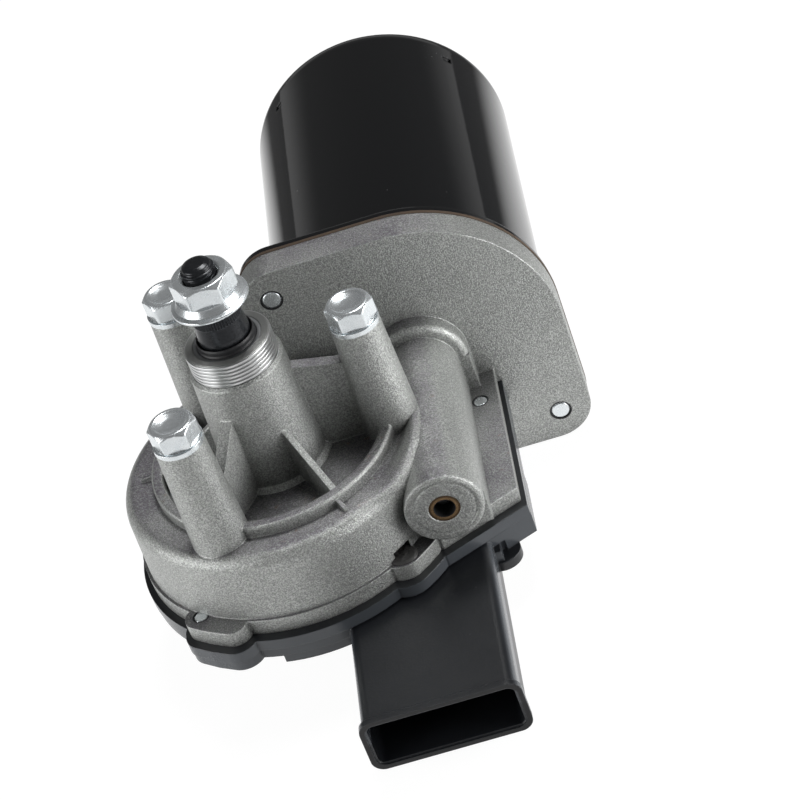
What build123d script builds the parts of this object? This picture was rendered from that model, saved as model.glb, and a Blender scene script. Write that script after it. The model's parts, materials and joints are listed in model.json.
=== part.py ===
from build123d import *
import math
import os

# Wiper motor with worm gearbox.  Millimetres.
# The origin is on the output shaft's axis, in the plane of the three mounting post tops.
# +Z is the way the output shaft leaves, +Y runs along the motor can, +X is the worm's side.

# ---------------------------------------------------------------- driving dimensions
FIT_GAP = 0.03            # radial running clearance of shafts in bushes
SLIDE_GAP = 0.1           # clearance of loose pieces between their seats

# gear train
GEAR_MODULE = 1.25
WHEEL_TEETH = 48
WORM_PITCH_RADIUS = 5.5
TOOTH_ADDENDUM = 1.1
TOOTH_DEDENDUM = 1.4
PRESSURE_ANGLE = 20.0
MESH_BACKLASH = 0.3
WORM_LENGTH = 27.0
MESH_DEPTH = 35.4         # worm and wheel mid plane below the post tops
WHEEL_WIDTH = 8.2
WHEEL_RIM_DEPTH = 5.5     # toothed rim, from the pitch circle to its inside
WHEEL_WEB_THICK = 4.4
WHEEL_HUB_RADIUS = 11.0
WHEEL_CLEARANCE = 2.0     # wheel tip to drum wall
WHEEL_SPOKES = 6
WHEEL_SPOKE_THICK = 1.6
WHEEL_HUB_DROP = 1.0      # hub and spokes below the wheel's web
SHIM_ROOM = 0.8
DISC_THICK = 0.5
PARK_NOTCH = (17.0, 4.0, 200)   # start radius, half width, angle of the park disc's notch

# output shaft and its seats
SHAFT_RADIUS = 6.0
SHAFT_NECK_TOP = 16.5     # where the serrated taper ends and the M8 thread starts
SHAFT_TAPER_BASE = 8.7
SHAFT_TAPER_RADIUS = 5.1
SHAFT_THREAD_RADIUS = 3.9
SHAFT_THREAD_LENGTH = 11.0
SHAFT_NOSE = 1.2
SHAFT_FOOT_RADIUS = 4.0
SHAFT_FOOT_LENGTH = 5.4
BUSH_RADIUS = 8.0
UPPER_BUSH_LENGTH = 12.0
LOWER_BUSH_LENGTH = 11.0
CLIP_THICK = 1.0
CLIP_GROOVE = 0.6
CLIP_WASHER_THICK = 0.6
SEAL_LIP_RADIUS = 7.0
SEAL_LIP_HEIGHT = 1.7
SEAL_EDGE = 0.5

# gear housing casting
COLLAR_RADIUS = 9.94
COLLAR_TOP = 5.9
COLLAR_BASE = 0.0
COLLAR_CHAMFER = 0.35
BOSS_TOP_RADIUS = 10.9
BOSS_BASE_RADIUS = 12.2
BOSS_FLARE = 2.2
POST_CIRCLE_DIAMETER = 56.0        # pitch circle of the three mounting posts
POST_TOP_RADIUS = 5.7
POST_BASE_RADIUS = 6.8
POST_WEB_THICK = 3.0
FRONT_WEB_DROPS = (5.4, 8.9)    # web tops below the post tops, at the boss and at the post
SIDE_WEB_DROPS = (7.0, 19.0)
WALL_BITE = 1.0           # how far a rib or step runs into the wall that carries it
NICK_LENGTH = 4.6         # two short ribs outside the ring
NICK_THICK = 0.9
GUSSET_THICK = 1.5
GUSSET_DROP = 14.0        # gusset's high end on the boss, below the post tops
DRUM_TOP = -28.0
DRUM_WALL = 3.5
DRUM_DRAFT = 0.6
DRUM_SHIFT = 0.9          # the drum's outside is centred this far towards -X
DRUM_EDGE_ROUND = 3.2
DRUM_ROOF = 2.6
POCKET_DEPTH = 1.4        # floor inside the ring rib, below the drum top
RING_RADIUS = 27.5
RING_WIDTH = 2.9
RING_HEIGHT = 2.9
RING_EDGE_ROUND = 0.7
RIM_TOP = -45.2
RIM_THICK = 4.0
RIM_STEP = 0.7            # rim outside the drum wall
LUG_RADIUS = 3.8
PEG_LUG_RADIUS = 4.9
PEG_HOLE_RADIUS = 2.6
PEG_HOLE_DEPTH = 2.2      # above the rim, into the lug
TUNNEL_RADIUS = 9.0
TUNNEL_WALL = 2.0
TUNNEL_FRONT = -28.0
TUNNEL_SKIRT_FRONT = -23.4
TUNNEL_COLLAR_RADIUS = 11.8
TUNNEL_COLLAR_LENGTH = 4.8
TUNNEL_EDGE_ROUND = 1.0
COLLAR_EDGE_ROUND = 1.6
WING_NECK = (5.0, -20.0)  # where the wing leaves the drum
WING_NOSE = (31.8, -25.2)
WING_RIGHT = 51.0
WING_CORNER = -16.3
FLANGE_FRONT = 28.7
FLANGE_DEPTH = 8.0
FLANGE_SIZE = 70.8
FLANGE_EAR_ROUND = 9.4
FLANGE_ROUND_LAND = 0.3   # flat left between the two full round corners
SPIGOT_WIDTH = 2.4
SPIGOT_LENGTH = 3.0

# worm shaft and its bearings
WORM_SHAFT_RADIUS = 4.0
WORM_JOURNAL_RADIUS = 2.4
WORM_BUSH_RADIUS = 3.6
WORM_BUSH_LENGTH = 10.0
BEARING_RADIUS = 11.0
BEARING_WIDTH = 7.0
BEARING_RACE_IN_RADIUS = 6.0
BEARING_RACE_OUT_RADIUS = 9.0
BEARING_BALLS = 7
BEARING_SHOULDER = 1.0
JOURNAL_START = 4.0       # front end of the worm shaft inside its bush
JOURNAL_CHAMFER = 0.4
SHAFT_STEP = 0.7          # cone from the worm to the bearing seat
WORM_LAND = 1.5
RETAINER_THICK = 0.8
RETAINER_GRIP = 1.2       # retainer's overlap on the outer ring
RETAINER_FLANGE = 3.5

# motor can
GASKET_THICK = 1.0
CAN_FLANGE_THICK = 2.0
CAN_LEDGE = 2.6           # flat of the flange outside the can
CAN_WALL = 1.6
CAN_END_ROUND = 8.0
CAN_CUP_RADIUS = 9.6
CAN_CUP_DEPTH = 5.4
CAN_SCREW_EDGE = 7.7      # screw centre to the flange's edge, along X and along Z
CAN_SCREW_RADIUS = 2.45
CAN_SCREW_HEAD = 8.0      # across flats
CAN_SCREW_HEAD_HEIGHT = 3.4
TAB_ANGLES = (45, 131, 225, 311)
TAB_BACK = 13.5           # retaining tabs, from the can's end
TAB_WIDTH = 2.6
TAB_LENGTH = 2.4
TAB_SINK = 0.7            # tabs pressed into the can
CAN_FLANGE_INSET = 0.2
REAR_BUSH_LENGTH = 7.7
REAR_BUSH_BALL = 2.5      # rounding that lets the bush align itself
REAR_END_PLAY = 2.2       # bush and shaft end to the bottom of the cup
CLIP_SPRING_THICK = 0.7
CLIP_SPRING_REACH = 8.0
THRUST_PAD_THICK = 1.8

# field and armature
MAGNET_THICK = 7.4
MAGNET_OVERHANG = 4.0     # magnets longer than the core at each end
MAGNET_ARC = 128.0
MAGNET_CLIP_THICK = 0.8
MAGNET_CLIP_REACH = 5.0
AIR_GAP = 0.7
CORE_LENGTH = 38.0
CORE_END_ROOM = 24.0      # core's rear end to the can's end
CORE_SLOTS = 12
SLOT_INNER_HALF = 1.3
SLOT_OUTER_HALF = 2.5
SLOT_LIP = 1.2            # tooth tips over the slots
SLOT_LINER = 0.12
END_TURN_SLOPE = 2.0
SLOT_MOUTH = 1.6
END_TURN_FRONT = 6.5
END_TURN_REAR = 7.0
END_TURN_RADIUS = 14.0
COMMUTATOR_RADIUS = 11.5
COMMUTATOR_CORE = 8.5
COMMUTATOR_LENGTH = 14.5
COMMUTATOR_RISER = 1.3
COMMUTATOR_SLIT = 0.6
COMMUTATOR_TO_CORE = 10.0
BRUSH_WIDTH = 6.0
BRUSH_HEIGHT = 5.0
BRUSH_LENGTH = 11.0
BRUSH_SEAT = 1.6          # brush above the card
HOLDER_WALL = 0.8
CARD_THICK = 2.4
CARD_TO_COMMUTATOR = 1.2
LEAD_RADIUS = 0.9
LEADS = 3
LEAD_SLOT = (12.5, 21.5)  # slot through the flange
LEAD_SLOT_HEIGHT = 3.0
LEAD_SPLICE = 1.5         # lead ends behind the card
LEAD_PITCH = 3.1
LEAD_START = 4.4          # free end, in front of the flange
LEAD_FIRST_X = 13.8
LEAD_HEIGHT = 2.7         # above the housing rim
CHOKE_PLACE = 22.0
CHOKE_LENGTH = 9.0
CHOKE_RADIUS = 3.4
CHOKE_CORE_LENGTH = 12.0
CHOKE_CORE_RADIUS = 1.6
CHOKE_ANGLES = (-70, -110)
CAPACITOR = (18.0, 23.0, 9.0, 8.0, 110)      # inner and outer reach, width, height, angle
BREAKER = (17.5, 24.0, 12.0, 5.0, 215)
HOLDER_START = 2.4        # holder to commutator
SPRING_RADIUS = 2.1
SPRING_THICK = 0.8
SPRING_INSET = 0.6

# cover
COVER_OVERHANG = 1.15     # cover side wall outside the rim
COVER_LEDGE = 1.25        # cover's top edge, further out along the front
COVER_WALL = 2.4
COVER_DEPTH = 6.4         # side wall, below the housing rim
COVER_FLOOR = 2.6
COVER_SEAM_DEPTH = 3.0    # parting groove below the rim
COVER_SEAM = 0.3
COVER_SCREW_RADIUS = 1.8
COVER_SCREW_HEAD_RADIUS = 3.6
COVER_SCREW_BOSS = 4.0
COVER_STEP = 2.9          # lower step of the cover, under the electrics
COVER_STEP_LEFT = -9.4
COVER_STEP_GROW = 0.2     # step outside the housing rim, left of the shroud
COVER_STEP_TONGUE = (36.0, 43.5, -23.8)     # left, right and front of the step's tongue
COVER_NOTCH = 1.2
COVER_FOOT_PLACE = (43.2, -20.0)
COVER_FOOT_RADIUS = 4.6
COVER_FOOT_HEIGHT = 2.4
SHROUD_LEFT = 6.8
SHROUD_RIGHT = 41.9
SHROUD_TOP = -52.5
SHROUD_BOTTOM = -65.6
SHROUD_ROUND = 2.4
SHROUD_MOUTH = -70.2
SHROUD_WALL = 1.0
SHROUD_BACK = -38.5
SHROUD_REAR = -16.0
SHROUD_BEAD = 0.7
SHROUD_BEAD_LENGTH = 1.6
SHROUD_FLARE = 0.5        # opening widened at the mouth
PAD_SEAT_HEIGHT = 2.5     # seat of the shaft thrust pad on the cover floor
PAD_GAP = 0.2
PEG_LENGTH = 3.0
TERMINALS = 5
TERMINAL_PITCH = 5.4
TERMINAL_WIDTH = 2.8
TERMINAL_THICK = 0.8
TERMINAL_TIP = 10.0       # blade tips, back from the mouth
TERMINAL_BEND_Y = -19.0     # where the blades turn up into the cover
TERMINAL_RISE = 1.6       # blade ends above the cover's floor
PARK_FINGER_PITCH = 6.0
PARK_FINGER_WIDTH = 1.8
PARK_FOOT_PLACE = -27.0
PARK_FOOT_LENGTH = 4.0
PARK_FOOT_HEIGHT = 1.2
PARK_REACHES = (13.0, 17.5, 22.0)
PARK_STRIP_THICK = 0.7
PARK_TIP = 2.0

# fasteners
BOLT_RADIUS = 3.0
BOLT_ACROSS_FLATS = 10.0
BOLT_HEAD_HEIGHT = 5.0
BOLT_DEPTH = 16.0
BOLT_HOLE_EXTRA = 2.0
BOLT_DISH_RADIUS = 9.4
WASHER_RADIUS = 5.8
WASHER_THICK = 1.2
NUT_ACROSS_FLATS = 13.0
NUT_FLANGE_RADIUS = 9.0
NUT_FLANGE_EDGE = 0.9
NUT_SKIRT = 2.8
NUT_HEIGHT = 8.0
NUT_MOUTH = 0.7
HEX_CHAMFER_SLOPE = 0.9   # rise of a hexagon's top cone, per radius
HEX_TOP = 0.94            # flat circle of a hexagon's top, of its width across flats
SCREW_HEAD_TOP = 2.6
SCREW_HEAD_EDGE = 1.0
SCREW_HEAD_HEIGHT = 2.2
BOLT_DISH = 0.8           # dish in the bolt head

# ---------------------------------------------------------------- derived places
WHEEL_PITCH_RADIUS = GEAR_MODULE * WHEEL_TEETH / 2
WHEEL_RIM_RADIUS = WHEEL_PITCH_RADIUS - WHEEL_RIM_DEPTH + SLIDE_GAP
WORM_X = WHEEL_PITCH_RADIUS + WORM_PITCH_RADIUS
WORM_Z = -MESH_DEPTH
WORM_LEAD = math.pi * GEAR_MODULE
RIM_BOTTOM = RIM_TOP - RIM_THICK
DRUM_CAVITY_RADIUS = WHEEL_PITCH_RADIUS + TOOTH_ADDENDUM + WHEEL_CLEARANCE
DRUM_BASE_RADIUS = DRUM_CAVITY_RADIUS + DRUM_WALL
DRUM_TOP_RADIUS = DRUM_BASE_RADIUS - DRUM_DRAFT
RIM_RADIUS = DRUM_BASE_RADIUS + RIM_STEP
POCKET_RADIUS = RING_RADIUS - RING_WIDTH / 2
POCKET_FLOOR = DRUM_TOP - POCKET_DEPTH
DRUM_CEILING = DRUM_TOP - DRUM_ROOF
POCKET_CEILING = POCKET_FLOOR - DRUM_ROOF
FLANGE_REAR = FLANGE_FRONT + FLANGE_DEPTH
CAN_FLANGE_FRONT = FLANGE_REAR + GASKET_THICK
CAN_FLANGE_REAR = CAN_FLANGE_FRONT + CAN_FLANGE_THICK
CAN_RADIUS = FLANGE_SIZE / 2 - CAN_LEDGE
CAN_BORE = CAN_RADIUS - CAN_WALL
CAN_SCREW_OFFSET = FLANGE_SIZE / 2 - CAN_SCREW_EDGE
SPIGOT_RADIUS = CAN_BORE - FIT_GAP
MAGNET_INNER = CAN_BORE - MAGNET_THICK
CORE_RADIUS = MAGNET_INNER - AIR_GAP
TUNNEL_BORE = TUNNEL_RADIUS - TUNNEL_WALL
CARD_FRONT = FLANGE_REAR + SPIGOT_LENGTH
CARD_REAR = CARD_FRONT + CARD_THICK
COMMUTATOR_FRONT = CARD_REAR + CARD_TO_COMMUTATOR
COMMUTATOR_REAR = COMMUTATOR_FRONT + COMMUTATOR_LENGTH
CORE_FRONT = COMMUTATOR_REAR + COMMUTATOR_TO_CORE
CORE_REAR = CORE_FRONT + CORE_LENGTH
MAGNET_FRONT = CORE_FRONT - MAGNET_OVERHANG
MAGNET_REAR = CORE_REAR + MAGNET_OVERHANG
CAN_END = CORE_REAR + CORE_END_ROOM
BRUSH_LOW = CARD_REAR + BRUSH_SEAT
BUSH_TOP = COLLAR_TOP - SEAL_LIP_HEIGHT - CLIP_THICK - CLIP_WASHER_THICK
SEAL_BASE = COLLAR_TOP - SEAL_LIP_HEIGHT
SHAFT_END = SHAFT_NECK_TOP + SHAFT_THREAD_LENGTH
NUT_BASE = SHAFT_NECK_TOP + SLIDE_GAP
COVER_SEAT = RIM_BOTTOM
COVER_BASE = COVER_SEAT - COVER_DEPTH
COVER_INNER_FLOOR = COVER_BASE + COVER_FLOOR
WEB_TOP = POCKET_CEILING - SHIM_ROOM
WEB_BOTTOM = WEB_TOP - WHEEL_WEB_THICK
WEB_FACE = WEB_BOTTOM - WHEEL_HUB_DROP
DISC_FACE = WEB_FACE - DISC_THICK
SHAFT_FOOT = WEB_BOTTOM - SHAFT_FOOT_LENGTH
PAD_SEAT = COVER_INNER_FLOOR + PAD_SEAT_HEIGHT
CUP_FLOOR = CAN_END + CAN_CUP_DEPTH - CAN_WALL
CUP_RADIUS = CAN_CUP_RADIUS - CAN_WALL
SHROUD_MIDDLE = (SHROUD_LEFT + SHROUD_RIGHT) / 2
SHROUD_LEVEL = (SHROUD_TOP + SHROUD_BOTTOM) / 2
BRUSH_ANGLES = (0, 180, 60)

POST_PLACES = [
    (POST_CIRCLE_DIAMETER / 2 * math.cos(math.radians(a)), POST_CIRCLE_DIAMETER / 2 * math.sin(math.radians(a)))
    for a in (0, 120, 240)
]
COVER_SCREW_PLACES = [(-24.9, -28.7), (-19.2, 32.6), (46.6, 18.2)]
PEG_PLACE = (22.7, -26.9)
LUGS = [                  # hole place, angle that the lug runs on, radius
    (COVER_SCREW_PLACES[0], 13, LUG_RADIUS),
    (COVER_SCREW_PLACES[1], 11, LUG_RADIUS),
    (PEG_PLACE, 9, PEG_LUG_RADIUS),
]

LOW = (Align.CENTER, Align.CENTER, Align.MIN)


# ---------------------------------------------------------------- small helpers
def rod(radius, bottom, top, x=0, y=0):
    return Pos(x, y, bottom) * Cylinder(radius, top - bottom, align=LOW)


def tube(outer, inner, bottom, top, x=0, y=0):
    return rod(outer, bottom, top, x, y) - rod(inner, bottom - 1, top + 1, x, y)


def cone(low_radius, high_radius, bottom, top, x=0, y=0):
    return Pos(x, y, bottom) * Cone(low_radius, high_radius, top - bottom, align=LOW)


def along_y(shape, x=WORM_X, z=WORM_Z):
    """Turn a shape made round Z so that its height runs along +Y, on the given axis."""
    return Pos(x, 0, z) * (Rot(-90, 0, 0) * shape)


def rod_y(radius, front, rear, x=WORM_X, z=WORM_Z):
    return along_y(rod(radius, front, rear), x, z)


def tube_y(outer, inner, front, rear, x=WORM_X, z=WORM_Z):
    return along_y(tube(outer, inner, front, rear), x, z)


def slab(sketch, bottom, top):
    return Pos(0, 0, bottom) * extrude(sketch, top - bottom)


def block(x0, x1, y0, y1, z0, z1):
    return Pos(x0, y0, z0) * Box(x1 - x0, y1 - y0, z1 - z0, align=(Align.MIN,) * 3)


def turned(points):
    """Revolve a radius/height profile round Z."""
    face = make_face(Polyline([(r, h) for r, h in points], close=True))
    return revolve(Plane.XZ * face, Axis.Z)


def polar(radius, angle):
    return radius * math.cos(math.radians(angle)), radius * math.sin(math.radians(angle))


def rib(start, end, width, foot, high_start, high_end):
    """Upright web between two plan points, with its own height at each end."""
    (x0, y0), (x1, y1) = start, end
    run = math.hypot(x1 - x0, y1 - y0)
    side = make_face(Polyline([(0, foot), (run, foot), (run, high_end), (0, high_start)], close=True))
    web = extrude(Plane.XZ * side, width / 2, both=True)
    return Pos(x0, y0, 0) * (Rot(0, 0, math.degrees(math.atan2(y1 - y0, x1 - x0))) * web)


def hexagon(across_flats, bottom, top):
    """Hexagon prism with the turned chamfer on its top corners."""
    corner = across_flats / math.sqrt(3)
    flat = HEX_TOP * across_flats / 2
    rise = HEX_CHAMFER_SLOPE * (corner - flat)
    crown = rod(corner, bottom, top - rise) + cone(corner, flat, top - rise, top)
    return slab(RegularPolygon(corner, 6), bottom, top) & crown


# ---------------------------------------------------------------- shared outlines
def wing_outline(grow=0.0):
    """Plan outline of the flat wing beside the drum, under the worm tunnel."""
    corners = [
        (WING_NECK[0], FLANGE_FRONT), WING_NECK, WING_NOSE,
        (WING_RIGHT, WING_CORNER), (WING_RIGHT, FLANGE_FRONT),
    ]
    plate = make_face(Polyline(corners, close=True))
    return offset(plate, grow, kind=Kind.INTERSECTION) if grow else plate


def rim_outline(grow=0.0):
    """Plan outline of the housing rim: drum circle, worm wing, screw lugs and peg lug."""
    outline = Sketch() + Pos(-DRUM_SHIFT, 0) * Circle(RIM_RADIUS + grow)
    outline += wing_outline(grow)
    for place, turn, radius in LUGS:
        outline += lug_outline(place, turn, radius + grow)
    return outline


def lug_outline(place, turn, radius):
    """Rounded lug that runs round the drum from a hole through the given angle."""
    reach = math.hypot(*place)
    start = math.degrees(math.atan2(place[1], place[0]))
    stops = [polar(reach, start + turn * i / 2) for i in range(3)]
    lug = Sketch() + [Pos(*stop) * Circle(radius) for stop in stops]
    for i in range(2):
        (x0, y0), (x1, y1) = stops[i], stops[i + 1]
        link = Rectangle(2 * radius, math.hypot(x1 - x0, y1 - y0))
        lug += Pos((x0 + x1) / 2, (y0 + y1) / 2) * Rot(0, 0, start + turn * (2 * i + 1) / 4) * link
    return lug


def flange_outline(grow=0.0):
    """Front view of the motor flange: square with two small ears and two full round corners."""
    size = FLANGE_SIZE + 2 * grow
    square = Rectangle(size, size)
    rounds = square.vertices().filter_by(lambda v: v.X * v.Y > 0)
    square = fillet(rounds, size / 2 - FLANGE_ROUND_LAND)
    ears = square.vertices().sort_by(lambda v: abs(v.X) + abs(v.Y))[-2:]
    return fillet(ears, FLANGE_EAR_ROUND + grow)


def flange_plate(front, rear, grow=0.0):
    """Flange outline as a plate square to the can axis."""
    plate = extrude(Plane.XZ * flange_outline(grow), -(rear - front))
    return Pos(WORM_X, front, WORM_Z) * plate


def can_screw_places():
    return [(WORM_X + s * CAN_SCREW_OFFSET, WORM_Z - s * CAN_SCREW_OFFSET) for s in (1, -1)]


# ---------------------------------------------------------------- gear housing
def drum_solid():
    drum = cone(DRUM_BASE_RADIUS, DRUM_TOP_RADIUS, RIM_TOP - WALL_BITE, DRUM_TOP, -DRUM_SHIFT)
    drum = fillet(drum.edges().sort_by(Axis.Z)[-1], DRUM_EDGE_ROUND)
    ring = tube(RING_RADIUS + RING_WIDTH / 2, POCKET_RADIUS, DRUM_TOP - WALL_BITE, DRUM_TOP + RING_HEIGHT)
    ring = fillet(ring.edges().group_by(Axis.Z)[-1], RING_EDGE_ROUND)
    return drum - rod(POCKET_RADIUS, POCKET_FLOOR, DRUM_TOP + WALL_BITE) + ring


def output_boss():
    boss = cone(BOSS_BASE_RADIUS, BOSS_TOP_RADIUS, POCKET_FLOOR - WALL_BITE, COLLAR_BASE)
    boss = chamfer(boss.edges().sort_by(Axis.Z)[-1], 2 * COLLAR_CHAMFER)
    foot = (POCKET_FLOOR - WALL_BITE, POCKET_FLOOR + BOSS_FLARE / 2)
    flare = cone(BOSS_BASE_RADIUS + BOSS_FLARE, BOSS_BASE_RADIUS, *foot)
    collar = rod(COLLAR_RADIUS, COLLAR_BASE - WALL_BITE, COLLAR_TOP)
    return boss + flare + chamfer(collar.edges().sort_by(Axis.Z)[-1], COLLAR_CHAMFER)


def mounting_posts():
    foot = POCKET_FLOOR - WALL_BITE / 2
    return [cone(POST_BASE_RADIUS, POST_TOP_RADIUS, foot, 0, x, y) for x, y in POST_PLACES]


def boss_ribs():
    """Webs from the output boss to each post and thin gussets out to the ring rib."""
    ribs = []
    foot = POCKET_FLOOR - WALL_BITE / 2
    ring_top = DRUM_TOP + RING_HEIGHT
    for angle in (0, 120, 240):
        inner, outer = SIDE_WEB_DROPS if angle else FRONT_WEB_DROPS
        start = polar(BUSH_RADIUS + WALL_BITE, angle)
        end = polar(POST_CIRCLE_DIAMETER / 2 - BOLT_RADIUS - WALL_BITE, angle)
        ribs.append(rib(start, end, POST_WEB_THICK, foot, -inner, -outer))
    for angle in (-60, 60, 180):
        start, end = polar(BUSH_RADIUS + WALL_BITE, angle), polar(RING_RADIUS, angle)
        ribs.append(rib(start, end, GUSSET_THICK, foot, -GUSSET_DROP, ring_top - RING_EDGE_ROUND))
    for angle in (-62, 175):
        start, end = polar(RING_RADIUS, angle), polar(RING_RADIUS + NICK_LENGTH, angle)
        ribs.append(rib(start, end, NICK_THICK, foot, ring_top - WALL_BITE, DRUM_TOP + WALL_BITE))
    return ribs


def worm_tunnel():
    """Round tunnel over the worm with its stepped collar against the motor flange."""
    rear = FLANGE_FRONT + WALL_BITE
    step = FLANGE_FRONT - TUNNEL_COLLAR_LENGTH
    pieces = []
    for radius, front, skirt_front, rounding in (
        (TUNNEL_RADIUS, TUNNEL_FRONT, TUNNEL_SKIRT_FRONT, TUNNEL_EDGE_ROUND),
        (TUNNEL_COLLAR_RADIUS, step, step, COLLAR_EDGE_ROUND),
    ):
        arch = rod_y(radius, front, rear)
        pieces.append(fillet(arch.edges().sort_by(Axis.Y)[0], rounding))
        sides = (WORM_X - radius, WORM_X + radius)
        pieces.append(block(*sides, skirt_front, rear, RIM_TOP - WALL_BITE, WORM_Z))
    return pieces


def rear_clearance(low, high):
    """Space behind the motor flange's rear face, kept free for the gasket and the can."""
    return block(-RIM_RADIUS, WING_RIGHT + RIM_RADIUS, FLANGE_REAR, FLANGE_REAR + RIM_RADIUS, low, high)


def housing_cavity():
    """Everything machined or cored out of the gear housing."""
    bearing_front = FLANGE_REAR - BEARING_WIDTH
    cuts = [
        rear_clearance(RIM_BOTTOM, DRUM_TOP - WALL_BITE),
        rod(DRUM_CAVITY_RADIUS, RIM_BOTTOM, DRUM_CEILING),
        rod_y(TUNNEL_BORE, TUNNEL_FRONT + WORM_BUSH_LENGTH, bearing_front - BEARING_SHOULDER),
        rod_y(BEARING_RACE_IN_RADIUS, 0, bearing_front),
        rod_y(WORM_BUSH_RADIUS, TUNNEL_FRONT, TUNNEL_FRONT + WORM_BUSH_LENGTH + WALL_BITE),
        rod_y(BEARING_RADIUS, bearing_front, FLANGE_REAR),
        rod(BUSH_RADIUS, POCKET_CEILING - WALL_BITE, COLLAR_TOP),
        rod(PEG_HOLE_RADIUS, RIM_BOTTOM, RIM_TOP + PEG_HOLE_DEPTH, *PEG_PLACE),
    ]
    for x, y in POST_PLACES:
        cuts.append(rod(BOLT_RADIUS, -BOLT_DEPTH - BOLT_HOLE_EXTRA, 0, x, y))
    for x, y in COVER_SCREW_PLACES:
        cuts.append(rod(COVER_SCREW_RADIUS, RIM_BOTTOM, RIM_TOP, x, y))
    for x, z in can_screw_places():
        cuts.append(rod_y(CAN_SCREW_RADIUS, FLANGE_FRONT, FLANGE_REAR, x, z))
    slot_low = RIM_TOP + LEAD_HEIGHT - LEAD_SLOT_HEIGHT / 2
    slot_front = FLANGE_FRONT - LEAD_START
    cuts.append(block(*LEAD_SLOT, slot_front, FLANGE_REAR, slot_low, slot_low + LEAD_SLOT_HEIGHT))
    return cuts


def gear_housing():
    body = drum_solid() + output_boss()
    body += slab(rim_outline(), RIM_BOTTOM, RIM_TOP)
    for piece in mounting_posts() + boss_ribs() + worm_tunnel():
        body += piece
    body += flange_plate(FLANGE_FRONT, FLANGE_REAR)
    for cut in housing_cavity():
        body -= cut
    body += tube(WHEEL_RIM_RADIUS - WALL_BITE, BUSH_RADIUS, POCKET_CEILING, DRUM_CEILING + WALL_BITE / 2)
    inner = SPIGOT_RADIUS - SPIGOT_WIDTH
    return body + tube_y(SPIGOT_RADIUS, inner, FLANGE_REAR - WALL_BITE / 2, FLANGE_REAR + SPIGOT_LENGTH)


# ---------------------------------------------------------------- output shaft group
def output_shaft():
    groove_low = BUSH_TOP + CLIP_WASHER_THICK
    groove_high = groove_low + CLIP_THICK
    edge = CLIP_GROOVE
    return turned([
        (0, SHAFT_FOOT), (SHAFT_FOOT_RADIUS - edge, SHAFT_FOOT), (SHAFT_FOOT_RADIUS, SHAFT_FOOT + edge),
        (SHAFT_FOOT_RADIUS, WEB_BOTTOM), (SHAFT_RADIUS, WEB_BOTTOM), (SHAFT_RADIUS, groove_low),
        (SHAFT_RADIUS - CLIP_GROOVE, groove_low), (SHAFT_RADIUS - CLIP_GROOVE, groove_high),
        (SHAFT_RADIUS, groove_high), (SHAFT_RADIUS, SHAFT_TAPER_BASE),
        (SHAFT_TAPER_RADIUS, SHAFT_NECK_TOP), (SHAFT_THREAD_RADIUS, SHAFT_NECK_TOP),
        (SHAFT_THREAD_RADIUS, SHAFT_END - SHAFT_NOSE), (SHAFT_THREAD_RADIUS - SHAFT_NOSE, SHAFT_END),
        (0, SHAFT_END),
    ])


def gear_section():
    """Plan section of the worm wheel: straight-flanked teeth on the root circle."""
    tan_p = math.tan(math.radians(PRESSURE_ANGLE))
    half_pitch_tooth = (math.pi * GEAR_MODULE / 2 - MESH_BACKLASH / 2) / 2
    tip = WHEEL_PITCH_RADIUS + TOOTH_ADDENDUM
    root = WHEEL_PITCH_RADIUS - TOOTH_DEDENDUM
    half_tip = half_pitch_tooth - TOOTH_ADDENDUM * tan_p
    half_root = half_pitch_tooth + TOOTH_DEDENDUM * tan_p
    points = []
    for i in range(WHEEL_TEETH):
        middle = 360 / WHEEL_TEETH * (i + 0.5)
        for radius, half in ((root, -half_root), (tip, -half_tip), (tip, half_tip), (root, half_root)):
            points.append(polar(radius, middle + math.degrees(half / radius)))
    return make_face(Polyline(points, close=True))


def worm_wheel():
    bottom = WORM_Z - WHEEL_WIDTH / 2
    twist = math.degrees(WORM_LEAD / (2 * math.pi * WORM_PITCH_RADIUS) * WHEEL_WIDTH / WHEEL_PITCH_RADIUS)
    section = Rot(0, 0, -twist / 2) * gear_section()
    toothed = Solid.extrude_linear_with_rotation(
        section.face(), center=(0, 0, 0), normal=(0, 0, WHEEL_WIDTH), angle=twist
    )
    wheel = Pos(0, 0, bottom) * Part(toothed.wrapped)
    wheel -= rod(WHEEL_RIM_RADIUS, WEB_TOP, POCKET_CEILING + WHEEL_WIDTH)
    wheel -= rod(WHEEL_RIM_RADIUS, bottom - WHEEL_WIDTH, WEB_BOTTOM)
    wheel += rod(WHEEL_HUB_RADIUS, WEB_FACE, WEB_TOP)
    half = WHEEL_SPOKE_THICK / 2
    for i in range(WHEEL_SPOKES):
        spoke = block(SHAFT_RADIUS, WHEEL_RIM_RADIUS + half, -half, half, WEB_FACE, WEB_BOTTOM + half)
        wheel += Rot(0, 0, 360 / WHEEL_SPOKES * (i + 0.5)) * spoke
    wheel -= rod(SHAFT_FOOT_RADIUS, bottom - WHEEL_WIDTH, WEB_TOP)
    return wheel - rod(SHAFT_RADIUS, WEB_BOTTOM, WEB_TOP)


def park_disc():
    """Contact disc for the park switch, with the notch that opens the circuit."""
    disc = tube(WHEEL_RIM_RADIUS - WALL_BITE, SHAFT_FOOT_RADIUS, DISC_FACE, WEB_FACE)
    start, half, angle = PARK_NOTCH
    return disc - Rot(0, 0, angle) * block(start, WHEEL_RIM_RADIUS, -half, half, DISC_FACE, WEB_FACE)


def wheel_shim():
    return tube(WHEEL_HUB_RADIUS - WALL_BITE, SHAFT_RADIUS, WEB_TOP, POCKET_CEILING - SLIDE_GAP)


def clip_washer():
    return tube(BUSH_RADIUS - CLIP_GROOVE / 2, SHAFT_RADIUS, BUSH_TOP + SLIDE_GAP, BUSH_TOP + CLIP_WASHER_THICK)


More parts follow.
